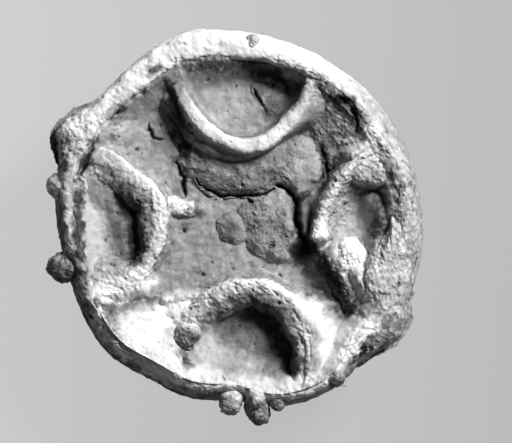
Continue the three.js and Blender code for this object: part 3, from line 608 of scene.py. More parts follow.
RIGHT_BANK = [(-1.3, 0.0), (-1.0, 0.35), (-0.8, 0.68), (-0.5, 0.94), (0, 1.0), (0.8, 0.96), (1.8, 0.86), (2.8, 0.7),
              (3.6, 0.3)]
BOTH_BANKS = [(-3.8, 0.2), (-2.3, 0.52), (-1.4, 0.78), (-0.7, 0.97), (0, 1.0), (0.9, 0.97), (1.9, 0.92), (2.3, 0.5),
              (2.4, 0.0)]
LEFT_SLOPE = [(-3.2, 0.05), (-2.2, 0.24), (-1.3, 0.52), (-0.6, 0.9), (0, 1.02), (0.5, 0.92), (0.8, 0.66), (1.0, 0.3),
              (1.3, 0.0)]
RIGHT_DROP = [(-1.8, 0.0), (-1.2, 0.35), (-0.95, 0.7), (-0.65, 0.95), (0, 1.02), (0.7, 0.94), (1.25, 0.72), (1.3, 0.3),
              (1.35, 0.0)]
STEP_RIGHT = [(-1.4, 0.0), (-0.95, 0.35), (-0.9, 0.7), (-0.7, 0.98), (0, 1.0), (0.7, 0.96), (1.05, 0.66),
              (2.1, 0.56), (2.3, 0.0)]
print("points in a key section:", len(PLAIN))

# %% Lines of the walls, in pixels, and what changes along them
WALLS = {
    "wall_north": dict(
        node="arc_wall_north", seed=101, least_rough=0.2, swell=0.1, open_ends=(False, False),
        height=[0.5, 0.62, 0.9, 1, 1, 1, 1, 1, 1, 1, 0.95],
        path=[(170, 68), (174, 78), (181, 94), (191, 111), (203, 126), (217, 137), (233, 143.5), (249, 146),
              (265, 142.5), (279, 132.5), (292, 119), (302, 105), (307, 92), (311, 80), (316, 70)],
        sections=[PLAIN, STEP_RIGHT, STEP_RIGHT, STEP_RIGHT, PLAIN, PLAIN, RIGHT_BANK, RIGHT_BANK],
        crest_tones=[0.5, 0.5, 0.66, 0.95, 1, 1, 1, 1, 1, 1, 0.9, 0.8, 0.75, 0.7],
        side_tones=[0.48, 0.48, 0.5], shoulder=(1, 0.55)),
    "wall_west": dict(
        node="arc_wall_west", seed=202, least_rough=0.5, swell=0.16, open_ends=(False, False),
        height=[0.3, 0.5, 0.7, 0.84, 0.88, 0.88, 0.86, 0.84, 0.82, 0.8],
        path=[(78, 160), (92, 154), (106, 158), (121, 167), (136, 178), (149, 190), (158, 203), (159, 218),
              (156, 234), (153, 249), (146, 264), (133, 277), (115, 285), (98, 289), (84, 291)],
        sections=[RIGHT_SLOPE, RIGHT_SLOPE, RIGHT_SLOPE, RIGHT_SHOULDER, RIGHT_DROP, SPREAD, SPREAD],
        crest_tones=[0.6, 0.8, 0.85, 0.9, 0.9, 0.86, 0.84, 0.84, 0.84, 0.84],
        side_tones=[0.56, 0.5, 0.5], shoulder=(1, 0.58)),
    "wall_south": dict(
        node="arc_wall_south", seed=303, least_rough=0.5, swell=0.18, open_ends=(True, False),
        height=[0.4, 0.62, 0.84, 0.96, 1, 1, 1, 0.98, 0.95, 0.93, 0.9],
        path=[(197, 322), (200, 312), (209, 300), (224, 291), (240, 286), (256, 284.5), (270, 289),
              (284, 297), (296, 308), (305, 322), (311, 338), (313, 355), (312, 372), (311, 384)],
        sections=[BROAD, RIGHT_SHOULDER, RIGHT_SHOULDER, RIGHT_SHOULDER, BOTH_BANKS, BOTH_BANKS, BOTH_BANKS],
        crest_tones=[0.66, 0.76, 0.86, 0.92, 0.95, 0.95, 0.95, 0.95, 0.92, 0.9, 0.9],
        side_tones=[0.5, 0.5, 0.55], shoulder=(1, 0.56)),
    "wall_east": dict(
        node="arc_wall_east", seed=404, least_rough=0.8, swell=0.2, open_ends=(False, True),
        height=[0.98, 0.98, 0.96, 0.9, 0.86, 0.86],
        path=[(372, 152), (358, 160), (347, 170), (338, 181), (330, 193), (324, 206), (320, 220),
              (319, 234), (319, 243)],
        sections=[LEFT_SLOPE, LEFT_SLOPE, LEFT_SLOPE, LEFT_SLOPE, PLAIN],
        crest_tones=[0.76, 0.78, 0.8, 0.82, 0.86, 1.0],
        side_tones=[0.5, 0.52, 0.6], shoulder=(-1, 0.6)),
    "wall_east_broken": dict(
        node="arc_wall_east_broken", seed=505, least_rough=1.0, swell=0.3, open_ends=(True, False),
        height=[0.25, 0.3, 0.36, 0.44, 0.48, 0.52, 0.62],
        path=[(333, 252), (338, 262), (345, 274), (353, 286), (361, 297), (369, 308), (378, 318), (388, 326)],
        sections=[BROAD, BROAD, SPREAD, BROAD],
        crest_tones=[0.6, 0.6, 0.66, 0.74, 0.76],
        side_tones=[0.4, 0.46, 0.5], shoulder=(1, 0.45)),
}
print("walls:", ", ".join(WALLS))

# %% Surfaces of the walls
WALL_SPACING = 0.085
WALL_COLUMNS = 120
END_ROUND = 0.7
SUNK = 0.5  # how deep a wall's feet stand in the field, in mm
WIDTH_WAVER, HEIGHT_WAVER = 0.16, 0.14


def wall_rings(path, sections, height, open_ends):
    """Sections square to a path, each with controls from the left foot over the crest to the right foot."""
    count = len(path)
    steps = np.gradient(path, axis=0)
    steps /= np.linalg.norm(steps, axis=1, keepdims=True)
    across = np.stack([steps[:, 1], -steps[:, 0]], axis=-1)
    travelled = np.arange(count) * np.linalg.norm(path[1] - path[0])
    shrink = np.ones(count)
    for is_open, from_end in zip(open_ends, (travelled, travelled[-1] - travelled)):
        if is_open:
            gap = np.clip(1 - from_end / END_ROUND, 0, 1)
            shrink *= np.sqrt(1 - 0.97 * gap**2)
    controls = along(sections, count)
    controls[..., 0] *= shrink[:, None]
    controls[..., 1] *= (height * (0.35 + 0.65 * shrink))[:, None]
    sunk = [controls[:, -1:] + [0.2, -SUNK], controls[:, :1] + [-0.2, -SUNK]]
    section = rounded(np.concatenate([controls, *sunk], axis=1), WALL_COLUMNS)
    xy = path[:, None] + across[:, None] * section[..., :1]
    return with_height(xy, FIELD + section[..., 1]), section[..., 0]


for wall_name, wall in WALLS.items():
    path = even_path(to_mm(wall["path"]), WALL_SPACING)
    count = len(path)
    places = with_height(path)
    waver = 1 + WIDTH_WAVER * swell(places, 3.2, wall["seed"])
    tall = ARC_HEIGHT * along(wall["height"], count) + HEIGHT_WAVER * swell(places, 2.8, wall["seed"] + 1)
    rings, offset = wall_rings(path, wall["sections"], tall, wall["open_ends"])
    rings[..., :2] = path[:, None] + (rings[..., :2] - path[:, None]) * waver[:, None, None]
    rings, crumbs, pits = weather(rings, swell_height=wall["swell"], least_rough=wall["least_rough"])
    rise = (rings[..., 2] - FIELD) / tall[:, None]
    side = along(wall["side_tones"], count)[:, None]
    shoulder_side, shoulder_tone = wall["shoulder"]
    top = along(wall["crest_tones"], count)[:, None]
    top = blend(top, shoulder_tone, ease(offset * shoulder_side + 0.3 * mottle(rings), 0.35, 1.0))
    tone = blend(side, top, ease(rise + 0.1 * mottle(rings), CREST_FROM, 0.9))
    tone = blend(tone, FIELD_TONE, 1 - ease(rise, 0.0, 0.25))
    make_piece(wall_name, rings, stained_and_painted_light(rings, tone, crumbs, pits), [wall["node"]])

# %% [markdown]
# ## The field
# Between the walls lies the field: a shallow dish, curved up to the walls, with long slopes of lime where
# burial filled the corners. It is a height worked out over the whole disc, on a square grid drawn out to
# the round outline. Slopes and banks join it by a smooth maximum, which leaves no crease. Cracks and pits
# are cut by their distance from listed lines and spots.

# %% Slopes and banks of lime
# Width and height of the fill at the foot of the rim, every 15 degrees from +X towards +Y, in mm
FILL_WIDTHS = [2.6, 2.6, 6.5, 9.0, 7.0, 0.8, 3.0, 4.8, 3.8, 3.4, 3.0, 2.4,
               3.2, 3.4, 5.5, 8.2, 8.2, 6.0, 4.8, 4.6, 4.4, 3.6, 3.0, 2.6]
FILL_HEIGHTS = [2.7, 2.6, 3.1, 3.4, 3.2, 0.5, 2.6, 2.8, 2.6, 2.4, 2.2, 1.6,
                1.7, 2.0, 2.8, 2.95, 2.85, 2.5, 2.35, 2.5, 3.1, 3.2, 3.0, 2.6]
# Slope outside the right half of the south wall, in pixels: its line, and its reach at even steps along it
SOUTH_SLOPE_PATH = [(262, 286), (276, 291), (288, 299), (299, 311), (307, 325), (311, 342), (312, 362), (311, 385)]
SOUTH_SLOPE_WIDTHS = [10, 13, 17, 26, 40, 48, 46, 40]
BANKS = [  # points in pixels, half width in pixels, height in mm
    ([(350, 158), (368, 160), (388, 164)], 22, 2.4),
    ([(292, 300), (303, 325), (308, 350), (308, 374)], 13, 3.0),
    ([(366, 284), (374, 298), (381, 314)], 19, 2.3), ([(376, 202), (386, 222), (380, 244)], 19, 1.9),
    ([(384, 176), (390, 196), (392, 214)], 13, 2.6), ([(112, 192), (128, 215), (132, 250)], 24, 1.0),
    ([(166, 301), (184, 297), (206, 297)], 9, 0.9), ([(176, 316), (200, 312)], 26, 1.0),
    ([(102, 296), (120, 295), (140, 286)], 17, 2.4),
    ([(362, 158), (338, 182), (324, 206), (320, 232)], 16, 1.6),
    ([(152, 204), (176, 206), (200, 206)], 14, 0.8), ([(84, 116), (104, 120), (118, 128)], 26, 1.5),
    ([(342, 345), (356, 332), (370, 320)], 19, 2.8), ([(338, 258), (354, 264), (366, 272)], 19, 0.9),
    ([(303, 212), (304, 232)], 10, 1.1), ([(360, 272), (366, 292)], 16, 2.2), ([(322, 80), (336, 92)], 26, 2.4),
    ([(86, 160), (100, 168), (112, 180)], 42, 1.4), ([(352, 156), (364, 146), (374, 132), (380, 120)], 20, 2.9),
]
print("banks:", len(BANKS))

# %% Cracks and pits
GROOVES = [  # points in pixels, half width in pixels, depth in mm
    ([(177, 163), (180, 172), (184, 177), (183, 186), (185, 195)], 2.0, 0.9),
    ([(148, 123), (149, 131), (154, 138), (163, 139)], 1.5, 0.6),
    ([(276, 185), (287, 189), (293, 197), (296, 209), (296, 221), (301, 233), (307, 246)], 2.4, 0.8),
    ([(196, 180), (206, 189), (220, 195), (240, 196), (262, 195), (274, 189)], 1.6, 0.6),
    ([(340, 98), (349, 103), (354, 112), (358, 126)], 1.8, 0.6), ([(322, 148), (326, 162)], 1.8, 0.4),
    ([(326, 164), (329, 174), (328, 186), (322, 199)], 2.4, 0.8),
    ([(94, 141), (88, 156), (83, 172), (80, 190)], 1.6, 0.4), ([(253, 88), (258, 96), (263, 105)], 1.4, 0.5),
    ([(247, 198), (252, 203)], 1.6, 0.5),
]
SPOTS = [  # middle in pixels, radius in pixels, depth in mm
    ((126, 156), 2.6, 0.5), ((136, 149), 2.4, 0.35), ((183, 230), 3.4, 0.35), ((203, 274), 3.2, 0.3),
    ((211, 262), 2.2, 0.25), ((280, 275), 2.4, 0.3), ((115, 112), 5.0, 0.35), ((142, 92), 4.0, 0.3),
    ((160, 125), 3.0, 0.25), ((232, 268), 2.0, 0.2), ((262, 268), 1.8, 0.2), ((104, 240), 2.4, 0.2),
]
print("cracks:", len(GROOVES), "pits:", len(SPOTS))


def square_to_disc(count):
    """Even grid of the unit square drawn out to the unit disc: each side's middle stays, corners draw in."""
    a, b = np.meshgrid(np.linspace(-1, 1, count), np.linspace(-1, 1, count), indexing="ij")
    return a * np.sqrt(1 - b * b / 2), b * np.sqrt(1 - a * a / 2)


def groove_noise(places):
    """Places in pixels pushed about, so that a line wanders, and a swelling and thinning of its width."""
    flat = with_height(places)
    wander = np.stack([cloud(flat, 9, 3, 71), cloud(flat, 9, 3, 75)], axis=-1)
    return places + 1.6 * wander, 1 + 0.5 * swell(flat, 5, 79)


def groove_share(wandered, swelling, points, half_width):
    """1 on a line and 0 away from it. The line thins out at its ends."""
    gap, share = path_distance(wandered, points)
    ragged = half_width * (0.35 + 0.75 * np.sin(np.pi * np.clip(share, 0.04, 0.96))) * swelling
    return np.exp(-((gap / ragged) ** 2))


def cracked(noise):
    """Depth in mm of all the grooves at places with their noise, and the share of a groove there, 0 to 1."""
    shares = [groove_share(*noise, points, half_width) for points, half_width, _ in GROOVES]
    depths = [depth * share for (_, _, depth), share in zip(GROOVES, shares)]
    return np.max(depths, axis=0), np.max(shares, axis=0)


def merged(heights, soft=0.12):
    """Smooth largest of several heights: the logarithm of the sum of their exponentials."""
    total = heights[0]
    for level in heights[1:]:
        total = soft * np.logaddexp(total / soft, level / soft)
    return total


def bank_level(bank_height, share):
    """Height of a bank: it rises by its share from under the field, so that it leaves the field at an angle."""
    return (bank_height + UNDER_FIELD) * share - UNDER_FIELD


# %% Heights of the field
GRID = 308
UNDER_FIELD = 0.6  # how far below the field a bank starts, in mm
WALL_HALF_WIDTH = 0.9
DISH_DEPTH = 0.12
COVE_HEIGHT, COVE_WIDTH = 0.45, 0.3
SOUTH_SLOPE_HEIGHT = 3.0
SOUTH_HOLLOW_MIDDLE, SOUTH_HOLLOW_RADII = (250, 352), (55, 62)
FIELD_GRAIN, FIELD_PIT_DEPTH = 0.28, 0.18
unit_x, unit_y = square_to_disc(GRID)
field_angle = np.arctan2(unit_y, unit_x)
field_radius = np.hypot(unit_x, unit_y) * crest_middle(field_angle)
field_xy = polar(field_radius, field_angle)
field_px = to_pixels(field_xy)
field_flat = with_height(field_xy)

# Distance to the nearest wall's foot, in mm: the rim's, and then each arc wall's where that is nearer
wall_gap = rim_foot(field_angle) - field_radius
for wall in WALLS.values():
    gap = path_distance(field_px, wall["path"])[0] * MM_PER_PIXEL
    wall_gap = np.minimum(wall_gap, gap - WALL_HALF_WIDTH)
wall_gap = np.clip(wall_gap, 0, None)

# The dish, the fill at the rim's foot, the slope south, and the banks, in mm above the field's level
fill_reach = (field_radius - rim_foot(field_angle)) / round_the_disc(FILL_WIDTHS, field_angle) + 1
fill_height = round_the_disc(FILL_HEIGHTS, field_angle)
slope_gap, slope_place = path_distance(field_px, SOUTH_SLOPE_PATH)
slope_reach = curve_at(SOUTH_SLOPE_WIDTHS, slope_place * (len(SOUTH_SLOPE_WIDTHS) - 1))
outside = ease(np.linalg.norm(field_px - SOUTH_HOLLOW_MIDDLE, axis=-1), *SOUTH_HOLLOW_RADII)
slope_share = (1 - ease(slope_gap / slope_reach, 0.05, 1)) * outside
levels = [-DISH_DEPTH * ease(wall_gap, 0.3, 3.5), bank_level(fill_height, ease(fill_reach, 0, 1.25)),
          bank_level(SOUTH_SLOPE_HEIGHT, slope_share)]
for points, half_width, bank_height in BANKS:
    levels.append(bank_level(bank_height, brushed(field_px, [(points, half_width, 1.0)], soft=0.0)))
relief = merged(levels) + COVE_HEIGHT * np.exp(-wall_gap / COVE_WIDTH)
relief = relief + RIPPLE * cloud(field_flat, 1.1, 3, 345)
print("banks and slopes in mm:", round(relief.min(), 2), "to", round(relief.max(), 2))

# %% Grain, tones and cracks of the field
field_rough = np.clip(brushed(warped_pixels(field_flat), ROUGH_PLACES), 0.1, 1)
field_crumbs = crumble(field_flat) * field_rough
field_pits = ease(cloud(field_flat, 0.9, 3, 65), 0.7, 1.0)
relief = relief + 0.12 * cloud(field_flat, 4, 3, 61) + 0.04 * cloud(field_flat, 0.8, 3, 62)
relief = relief + FIELD_GRAIN * field_crumbs - FIELD_PIT_DEPTH * field_pits
field_tone = stained_and_painted_light(field_flat, FIELD_TONE, field_crumbs, field_pits)
field_noise = groove_noise(field_px)
groove_depth, groove_dirt_and_shade = cracked(field_noise)
relief = relief - groove_depth
# The field's cracks and pits are painted darker: dirt and painted shade.
field_tone = field_tone - GROOVE_DARKNESS * groove_dirt_and_shade
for middle, radius, depth in SPOTS:
    share = groove_share(*field_noise, [middle, (middle[0] + 1, middle[1] + 1)], radius)
    relief = relief - depth * share
    field_tone = field_tone - SPOT_DARKNESS * share
field_top = with_height(field_xy, FIELD + relief)
print("field relief in mm:", round(relief.min(), 2), "to", round(relief.max(), 2))

# %% Field mesh
HIDDEN_TONE = 0.4
SLAB_FOOT = PLATE_BACK + 0.6  # inside the plate


def make_slab(name, top, tone, bottom, nodes):
    """Closed slab: the top grid, a skirt from its edge down to one level, and a fan to the middle below."""
    rows, columns = top.shape[:2]
    here = np.arange(rows * columns).reshape(rows, columns)
    quads = np.stack([here[:-1, :-1], here[1:, :-1], here[1:, 1:], here[:-1, 1:]], -1).reshape(-1, 4)
    edge = np.concatenate([here[:-1, 0], here[-1, :-1], here[:0:-1, -1], here[0, :0:-1]])
    points = top.reshape(-1, 3)
    skirt = points[edge].copy()
    skirt[:, 2] = bottom
    low = len(points) + np.arange(len(edge))
    hub = len(points) + len(edge)
    side = np.stack([edge, low, np.roll(low, -1), np.roll(edge, -1)], axis=-1)
    fan = np.stack([np.roll(low, -1), low, np.full(len(edge), hub)], axis=-1)
    points = np.concatenate([points, skirt, skirt.mean(axis=0, keepdims=True)])
    tone = np.concatenate([tone.ravel(), np.full(len(edge) + 1, HIDDEN_TONE)])
    make_mesh(name, points, np.concatenate([quads, side]), fan, tone, nodes)


make_slab("field", field_top, field_tone, SLAB_FOOT, ["seal_plate"])

# %% [markdown]
# ## The plate's edge and back
# From the side and from behind, the plate is a thick disc with a soft edge. It is turned like a dish on
# a lathe: a profile goes round the outline, each point an inset from it and a level above the plate's back.
# The inner part of its top is hidden under the field, so it gets only a few rows.

# %% Plate
PLATE_PROFILE = [(20.0, 0.95), (8.0, 1.0), (1.9, 1.2), (0.55, 2.0), (0.27, 2.1), (0.12, 1.8), (0.0, 1.2),
                 (0.04, 0.75), (0.25, 0.35), (0.62, 0.1), (1.1, 0.0), (2.4, 0.02), (6.0, 0.05), (12.0, 0.03),
                 (20.5, 0.0)]
PLATE_ROWS, PLATE_COLUMNS = 150, 560
plate_angle = -angles_round(PLATE_COLUMNS)
row_share = np.linspace(0, 1, PLATE_ROWS)
row_place = np.interp(row_share, [0, 0.03, 0.45, 1], [0, 2, 10, len(PLATE_PROFILE) - 1])
profile = curve_at(PLATE_PROFILE, row_place)
plate_xy = polar(np.clip(disc_radius(plate_angle)[None] - profile[:, :1], 0.02, None), plate_angle[None])
plate_rings = with_height(plate_xy, PLATE_BACK + profile[:, 1:])
plate_rings, plate_crumbs, plate_pits = weather(
    plate_rings, swell_height=0.06, grain_height=0.08, pit_depth=0.08, turn=-1)
edge_share = ease(profile[:, 1:], 1.0, 1.8)
# The plate's edge takes the rim's side tones, with their painted shade and painted light.
plate_tone = blend(METAL_TONE, round_the_disc(SIDE_TONES_WITH_PAINTED_LIGHT, plate_angle)[None], edge_share)
plate_tone = bare_metal(plate_rings, plate_tone, plate_crumbs, plate_pits, 0.15)
make_piece("plate_back", plate_rings, plate_tone, ["seal_plate"])

# %% [markdown]
# ## The loop on the back
# A strap bent to an arch carries the seal's cord. It is one section, a rounded rectangle, carried round
# half an ellipse, broad at its feet and rubbed flat where it rests. The cord has polished the inside.

# %% Loop handle
loop_low, loop_high = (np.array(corner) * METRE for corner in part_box("loop_handle"))
LOOP_THICKNESS = 2.2
LOOP_WEAR = 0.35  # how far the arch would reach below the ground in mm, had it not been rubbed flat
LOOP_CORNERS = 0.6  # 1 gives a round section, and less a squarer one
LOOP_FOOT_WIDTH, LOOP_CROWN_WIDTH = 6.2, 4.5
LOOP_STATIONS, LOOP_COLUMNS = 210, 110
loop_span = loop_high[0] - loop_low[0] - LOOP_THICKNESS
loop_depth = PLATE_BACK - LOOP_THICKNESS / 2 + LOOP_WEAR
loop_turn = np.linspace(-0.04, 1.04, LOOP_STATIONS) * np.pi
loop_middle = np.stack([MIDDLE_MM[0] - loop_span / 2 * np.cos(loop_turn), np.full(LOOP_STATIONS, MIDDLE_MM[1]),
                        PLATE_BACK - loop_depth * np.sin(loop_turn)], axis=-1)
loop_out = np.stack([-loop_depth * np.cos(loop_turn), 0 * loop_turn, -loop_span / 2 * np.sin(loop_turn)], -1)
loop_out /= np.linalg.norm(loop_out, axis=1, keepdims=True)
loop_width = blend(LOOP_CROWN_WIDTH, LOOP_FOOT_WIDTH, np.cos(loop_turn) ** 2)
round_angle = angles_round(LOOP_COLUMNS)
thick_share, wide_share = (np.sign(wave) * np.abs(wave) ** LOOP_CORNERS
                           for wave in (np.cos(round_angle), np.sin(round_angle)))
loop_rings = loop_middle[:, None] + loop_out[:, None] * (LOOP_THICKNESS / 2 * thick_share)[None, :, None]
loop_rings[..., 1] += loop_width[:, None] / 2 * wide_share[None]
loop_rings, loop_crumbs, loop_pits = weather(loop_rings, swell_height=0.1, grain_height=0.08, least_rough=0.5)
loop_rings[..., 2] = np.maximum(loop_rings[..., 2], 0.03 * np.clip(-loop_crumbs, 0, 1))
loop_tone = bare_metal(loop_rings, METAL_TONE, loop_crumbs, loop_pits, 0.12)
loop_tone = loop_tone + 0.3 * (1 - ease(loop_rings[..., 2], 0.1, 0.5))
make_piece("handle", loop_rings, loop_tone, ["loop_handle"])

# %% [markdown]
# ## Pellets
# Small balls of bronze stand on the outer side of the rim. They were beads of wax once, pressed on by
# hand, so each is a ball drawn out a little across the rim. It is made as rings from pole to pole, and the
# weather pushes them about, so that none looks turned on a lathe.

# %% Pellets
PELLET_RINGS, PELLET_COLUMNS = 70, 110
PELLET_STRETCH = 0.3
PELLET_INSET = 0.05  # the weather swells them out again
PELLETS = [  # name, middle in pixels, radius in pixels, middle's height above the field in mm, tone
    ("pellet_west_upper", (68, 187), 16.5, 1.5, 0.7), ("pellet_west_lower", (67, 267), 16.0, 1.3, 0.4),
    ("pellet_south_left", (231, 400), 12.0, 1.4, 0.56), ("pellet_south_middle", (257, 408), 14.0, 0.9, 0.42),
    ("pellet_south_upper", (256, 398), 9.6, 2.2, 0.46), ("pellet_south_small", (277, 399), 10.0, 1.4, 0.36),
    ("pellet_south_east", (332, 374), 12.0, 1.9, 0.22), ("pellet_north", (252, 44.5), 8.4, 2.9, 0.6),
]
down = ((np.arange(PELLET_RINGS) + 0.5) / PELLET_RINGS * np.pi)[:, None]
turn = angles_round(PELLET_COLUMNS)
ball = np.stack([np.sin(down) * np.cos(turn), np.sin(down) * np.sin(turn), np.cos(down) + 0 * turn], axis=-1)
for name, middle, radius, rise, tone in PELLETS:
    centre = np.append(to_mm(middle), FIELD + rise)
    rings = ball * (radius * MM_PER_PIXEL - PELLET_INSET)
    outwards = centre[:2] - MIDDLE_MM
    outwards /= np.linalg.norm(outwards)
    rings[..., :2] += PELLET_STRETCH * (rings[..., :2] @ outwards)[..., None] * outwards
    rings = centre + rings
    rings, crumbs, pits = weather(rings, swell_height=0.3, grain_height=0.17, least_rough=1.0)
    make_piece(name, rings, stained_and_painted_light(rings, tone, crumbs, pits), [name])

# %% [markdown]
# ## Crusts
# Lime and corrosion have grown over the seal in sheets and lumps. Each lump has a ragged outline and a
# flat or tilted top. Rays run from its middle out to the outline, and the profile along a ray goes over the
# top, round the brow, down the side and back under. The foot is sunk into the field, so that no gap
# shows.

# %% Profiles and outlines of the crusts
# Each profile has shares of a ray's length and shares of the crust's height, from the middle outwards
FIRM_PROFILE = [(0.0, 1.0), (0.25, 1.0), (0.45, 0.99), (0.62, 0.96), (0.76, 0.88), (0.87, 0.68), (0.95, 0.4),
                (1.03, 0.12), (1.12, -0.12), (1.14, -0.5), (0.7, -0.6), (0.02, -0.6)]
SOFT_PROFILE = [(0.0, 1.0), (0.22, 1.0), (0.4, 0.98), (0.55, 0.92), (0.68, 0.8), (0.8, 0.6), (0.9, 0.36), (1.0, 0.1),
                (1.1, -0.15), (1.14, -0.5), (0.7, -0.6), (0.02, -0.6)]
CRUSTS = [  # node, middle in pixels, foot and top in mm, tilt, tone, roughness, softness, outline in pixels
    ("crust_sheet_north", (238, 173), 0.3, 1.1, (0, 0.12), 0.48, 0.3, 0.5,
     [(186, 150), (189, 165), (196, 178), (205, 188), (218, 194), (234, 196), (250, 195), (263, 192),
      (276, 187), (288, 180), (296, 168), (292, 150), (276, 142), (250, 148), (225, 146), (204, 138)]),
    ("crust_lobe_north", (300, 166), 0.3, 1.05, (0.03, 0.03), 0.55, 0.15, 0.6,
     [(290, 138), (302, 132), (313, 138), (320, 149), (323, 162), (322, 175), (315, 186), (306, 195),
      (299, 199), (293, 190), (284, 184), (274, 180), (270, 168), (276, 152)]),
    ("crust_centre", (272, 226), 0.2, 0.95, (0, 0), 0.53, 0.3, 0.5,
     [(250, 199), (262, 193), (275, 192), (286, 195), (291, 206), (293, 217), (299, 231), (302, 244),
      (297, 256), (285, 262), (272, 260), (259, 253), (250, 246), (248, 234), (243, 224), (241, 210)]),
    ("crust_bump", (229, 229), 0.1, 0.6, (0, 0), 0.5, 0.3, 1.0,
     [(218, 222), (226, 215), (238, 214), (246, 220), (247, 232), (242, 241), (232, 243), (221, 238)]),
    ("crust_north_east", (338, 124), 0.2, 1.6, (0.1, 0.2), 0.52, 0.7, 0.8,
     [(300, 94), (306, 84), (320, 80), (336, 82), (349, 90), (360, 102), (367, 116), (367, 130), (362, 144),
      (352, 156), (343, 168), (334, 179), (329, 180), (324, 165), (316, 150), (306, 138), (300, 126),
      (296, 110)]),
    ("crust_plateau_east", (374, 168), 0.0, 3.1, (0.02, 0.06), 0.76, 0.9, 0.4,
     [(341, 175), (348, 160), (360, 150), (376, 146), (391, 151), (400, 164), (401, 177), (392, 186),
      (377, 188), (361, 187), (347, 184)]),
    ("lump_east", (352, 258), 0.0, 1.5, (0, 0.05), 1.0, 1.1, 1.0,
     [(329, 268), (332, 250), (342, 238), (358, 237), (369, 248), (374, 264), (374, 279), (356, 283),
      (338, 279)]),
    ("crust_bank_east", (393, 262), 0.0, 3.6, (0, 0), 0.72, 1.0, 0.4,
     [(392, 206), (386, 222), (379, 236), (371, 248), (366, 260), (362, 272), (358, 284), (358, 298),
      (364, 312), (376, 320), (392, 316), (404, 300), (413, 278), (416, 252), (415, 226), (405, 204)]),
    ("crust_flake_north", (272, 107), 0.0, 0.32, (0, 0), 0.48, 0.3, 1.0,
     [(255, 88), (264, 84), (276, 88), (285, 99), (287, 112), (283, 124), (273, 129), (265, 122), (264, 108),
      (257, 99)]),
    ("nodule_west", (172, 205), 0.0, 1.7, (-0.28, 0), 0.9, 1.0, 1.0,
     [(148, 204), (154, 195), (168, 194), (181, 197), (193, 198), (200, 205), (193, 213), (178, 215),
      (162, 216), (152, 213)]),
    ("nodule_south", (186, 337), 0.0, 2.1, (0, 0), 0.5, 1.3, 1.0,
     [(171, 340), (173, 327), (181, 320), (190, 322), (199, 325), (203, 335), (197, 345), (190, 354),
      (178, 350)]),
    ("nodule_south_small", (186, 362), 0.0, 2.4, (0, 0), 0.5, 1.2, 0.8,
     [(179, 361), (183, 353), (191, 355), (194, 364), (189, 372), (181, 370)]),
    ("crust_corner_north_west", (76, 139), -0.9, 3.7, (0.05, 0.08), 0.84, 0.9, 0.0,
     [(55, 134), (57, 152), (60, 167), (70, 173), (82, 166), (92, 148), (104, 126), (104, 104), (86, 108),
      (70, 115), (59, 124)]),
    ("crust_edge_south_east", (380, 330), -1.2, 3.3, (-0.1, 0.1), 0.62, 0.9, 0.2,
     [(348, 352), (352, 340), (360, 325), (370, 314), (382, 305), (396, 299), (406, 304), (408, 320),
      (404, 332), (394, 342), (382, 350), (368, 357), (356, 362)]),
]
print("crusts:", len(CRUSTS))

# %% Surfaces of the crusts
CRUST_ROWS = 110
CRUST_FOOT_TONE = 0.47
CRUST_UNDERSIDE = 0.15  # above the solid's own underside, in mm
FIRST_CRUST_SEED = 1001


def crust_rings(middle, outline, base, top, tilt, soft, seed):
    """Rays from the middle to the outline, times the profile's share, and the profile's rise in height."""
    outline, middle = to_mm(outline), to_mm(middle)
    edge = even_path(np.concatenate([outline, outline[:1]]), 0.1)[:-1]
    ray = (edge - middle) * (0.97 + 0.08 * cloud(with_height(edge), 1.6, 2, seed))[:, None]
    profile = (1 - soft) * np.array(FIRM_PROFILE) + soft * np.array(SOFT_PROFILE)
    share, rise = curve_at(profile, np.linspace(0, len(profile) - 1, CRUST_ROWS)).T
    xy = middle + ray[None] * np.clip(share, 0.01, None)[:, None, None]
    level = base + (top - base + (xy - middle) @ np.asarray(tilt)) * rise[:, None]
    return with_height(xy, FIELD + level)


for seed, (name, middle, base, top, tilt, tone, rough, soft, outline) in enumerate(CRUSTS, FIRST_CRUST_SEED):
    rings = crust_rings(middle, outline, base, top, tilt, soft, seed)
    turn = np.sign(grid_normals(rings, False)[3, :, 2].mean())
    lean = ease(np.linspace(0, 1, CRUST_ROWS), 0.1, 0.45)[:, None, None]
    rings, crumbs, pits = weather(rings, swell_height=0.3, grain_height=0.22 * max(1, rough),
                                  least_rough=min(1, rough), turn=turn, lean=lean)
    # The crusts' cracks are painted darker too: dirt and painted shade.
    groove_depth, groove_dirt_and_shade = cracked(groove_noise(to_pixels(rings[..., :2])))
    rings[..., 2] -= groove_depth
    if base < 0:  # the blocks outside the rim end underneath where the solids end
        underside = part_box(name)[0].z * METRE + CRUST_UNDERSIDE
        rings[..., 2] = np.maximum(rings[..., 2], underside + 0.12 * crumbs)
    rise = (rings[..., 2] - FIELD) / top
    tone = blend(tone, CRUST_FOOT_TONE, 1 - ease(rise + 0.1 * mottle(rings), 0.1, 0.75))
    make_piece(name, rings, stained_and_painted_light(rings, tone - GROOVE_DARKNESS * groove_dirt_and_shade, crumbs, pits), [name])
print("triangles in all:", triangle_count)

# %% [markdown]
# ## Finishes
# A finish reads the tone that each point carries and adds what is too fine for the mesh: specks, dust and
# a fine grain in the bump. Shader maths is written as Python: a Wire holds a socket, and adding or
# multiplying wires makes the Math nodes.

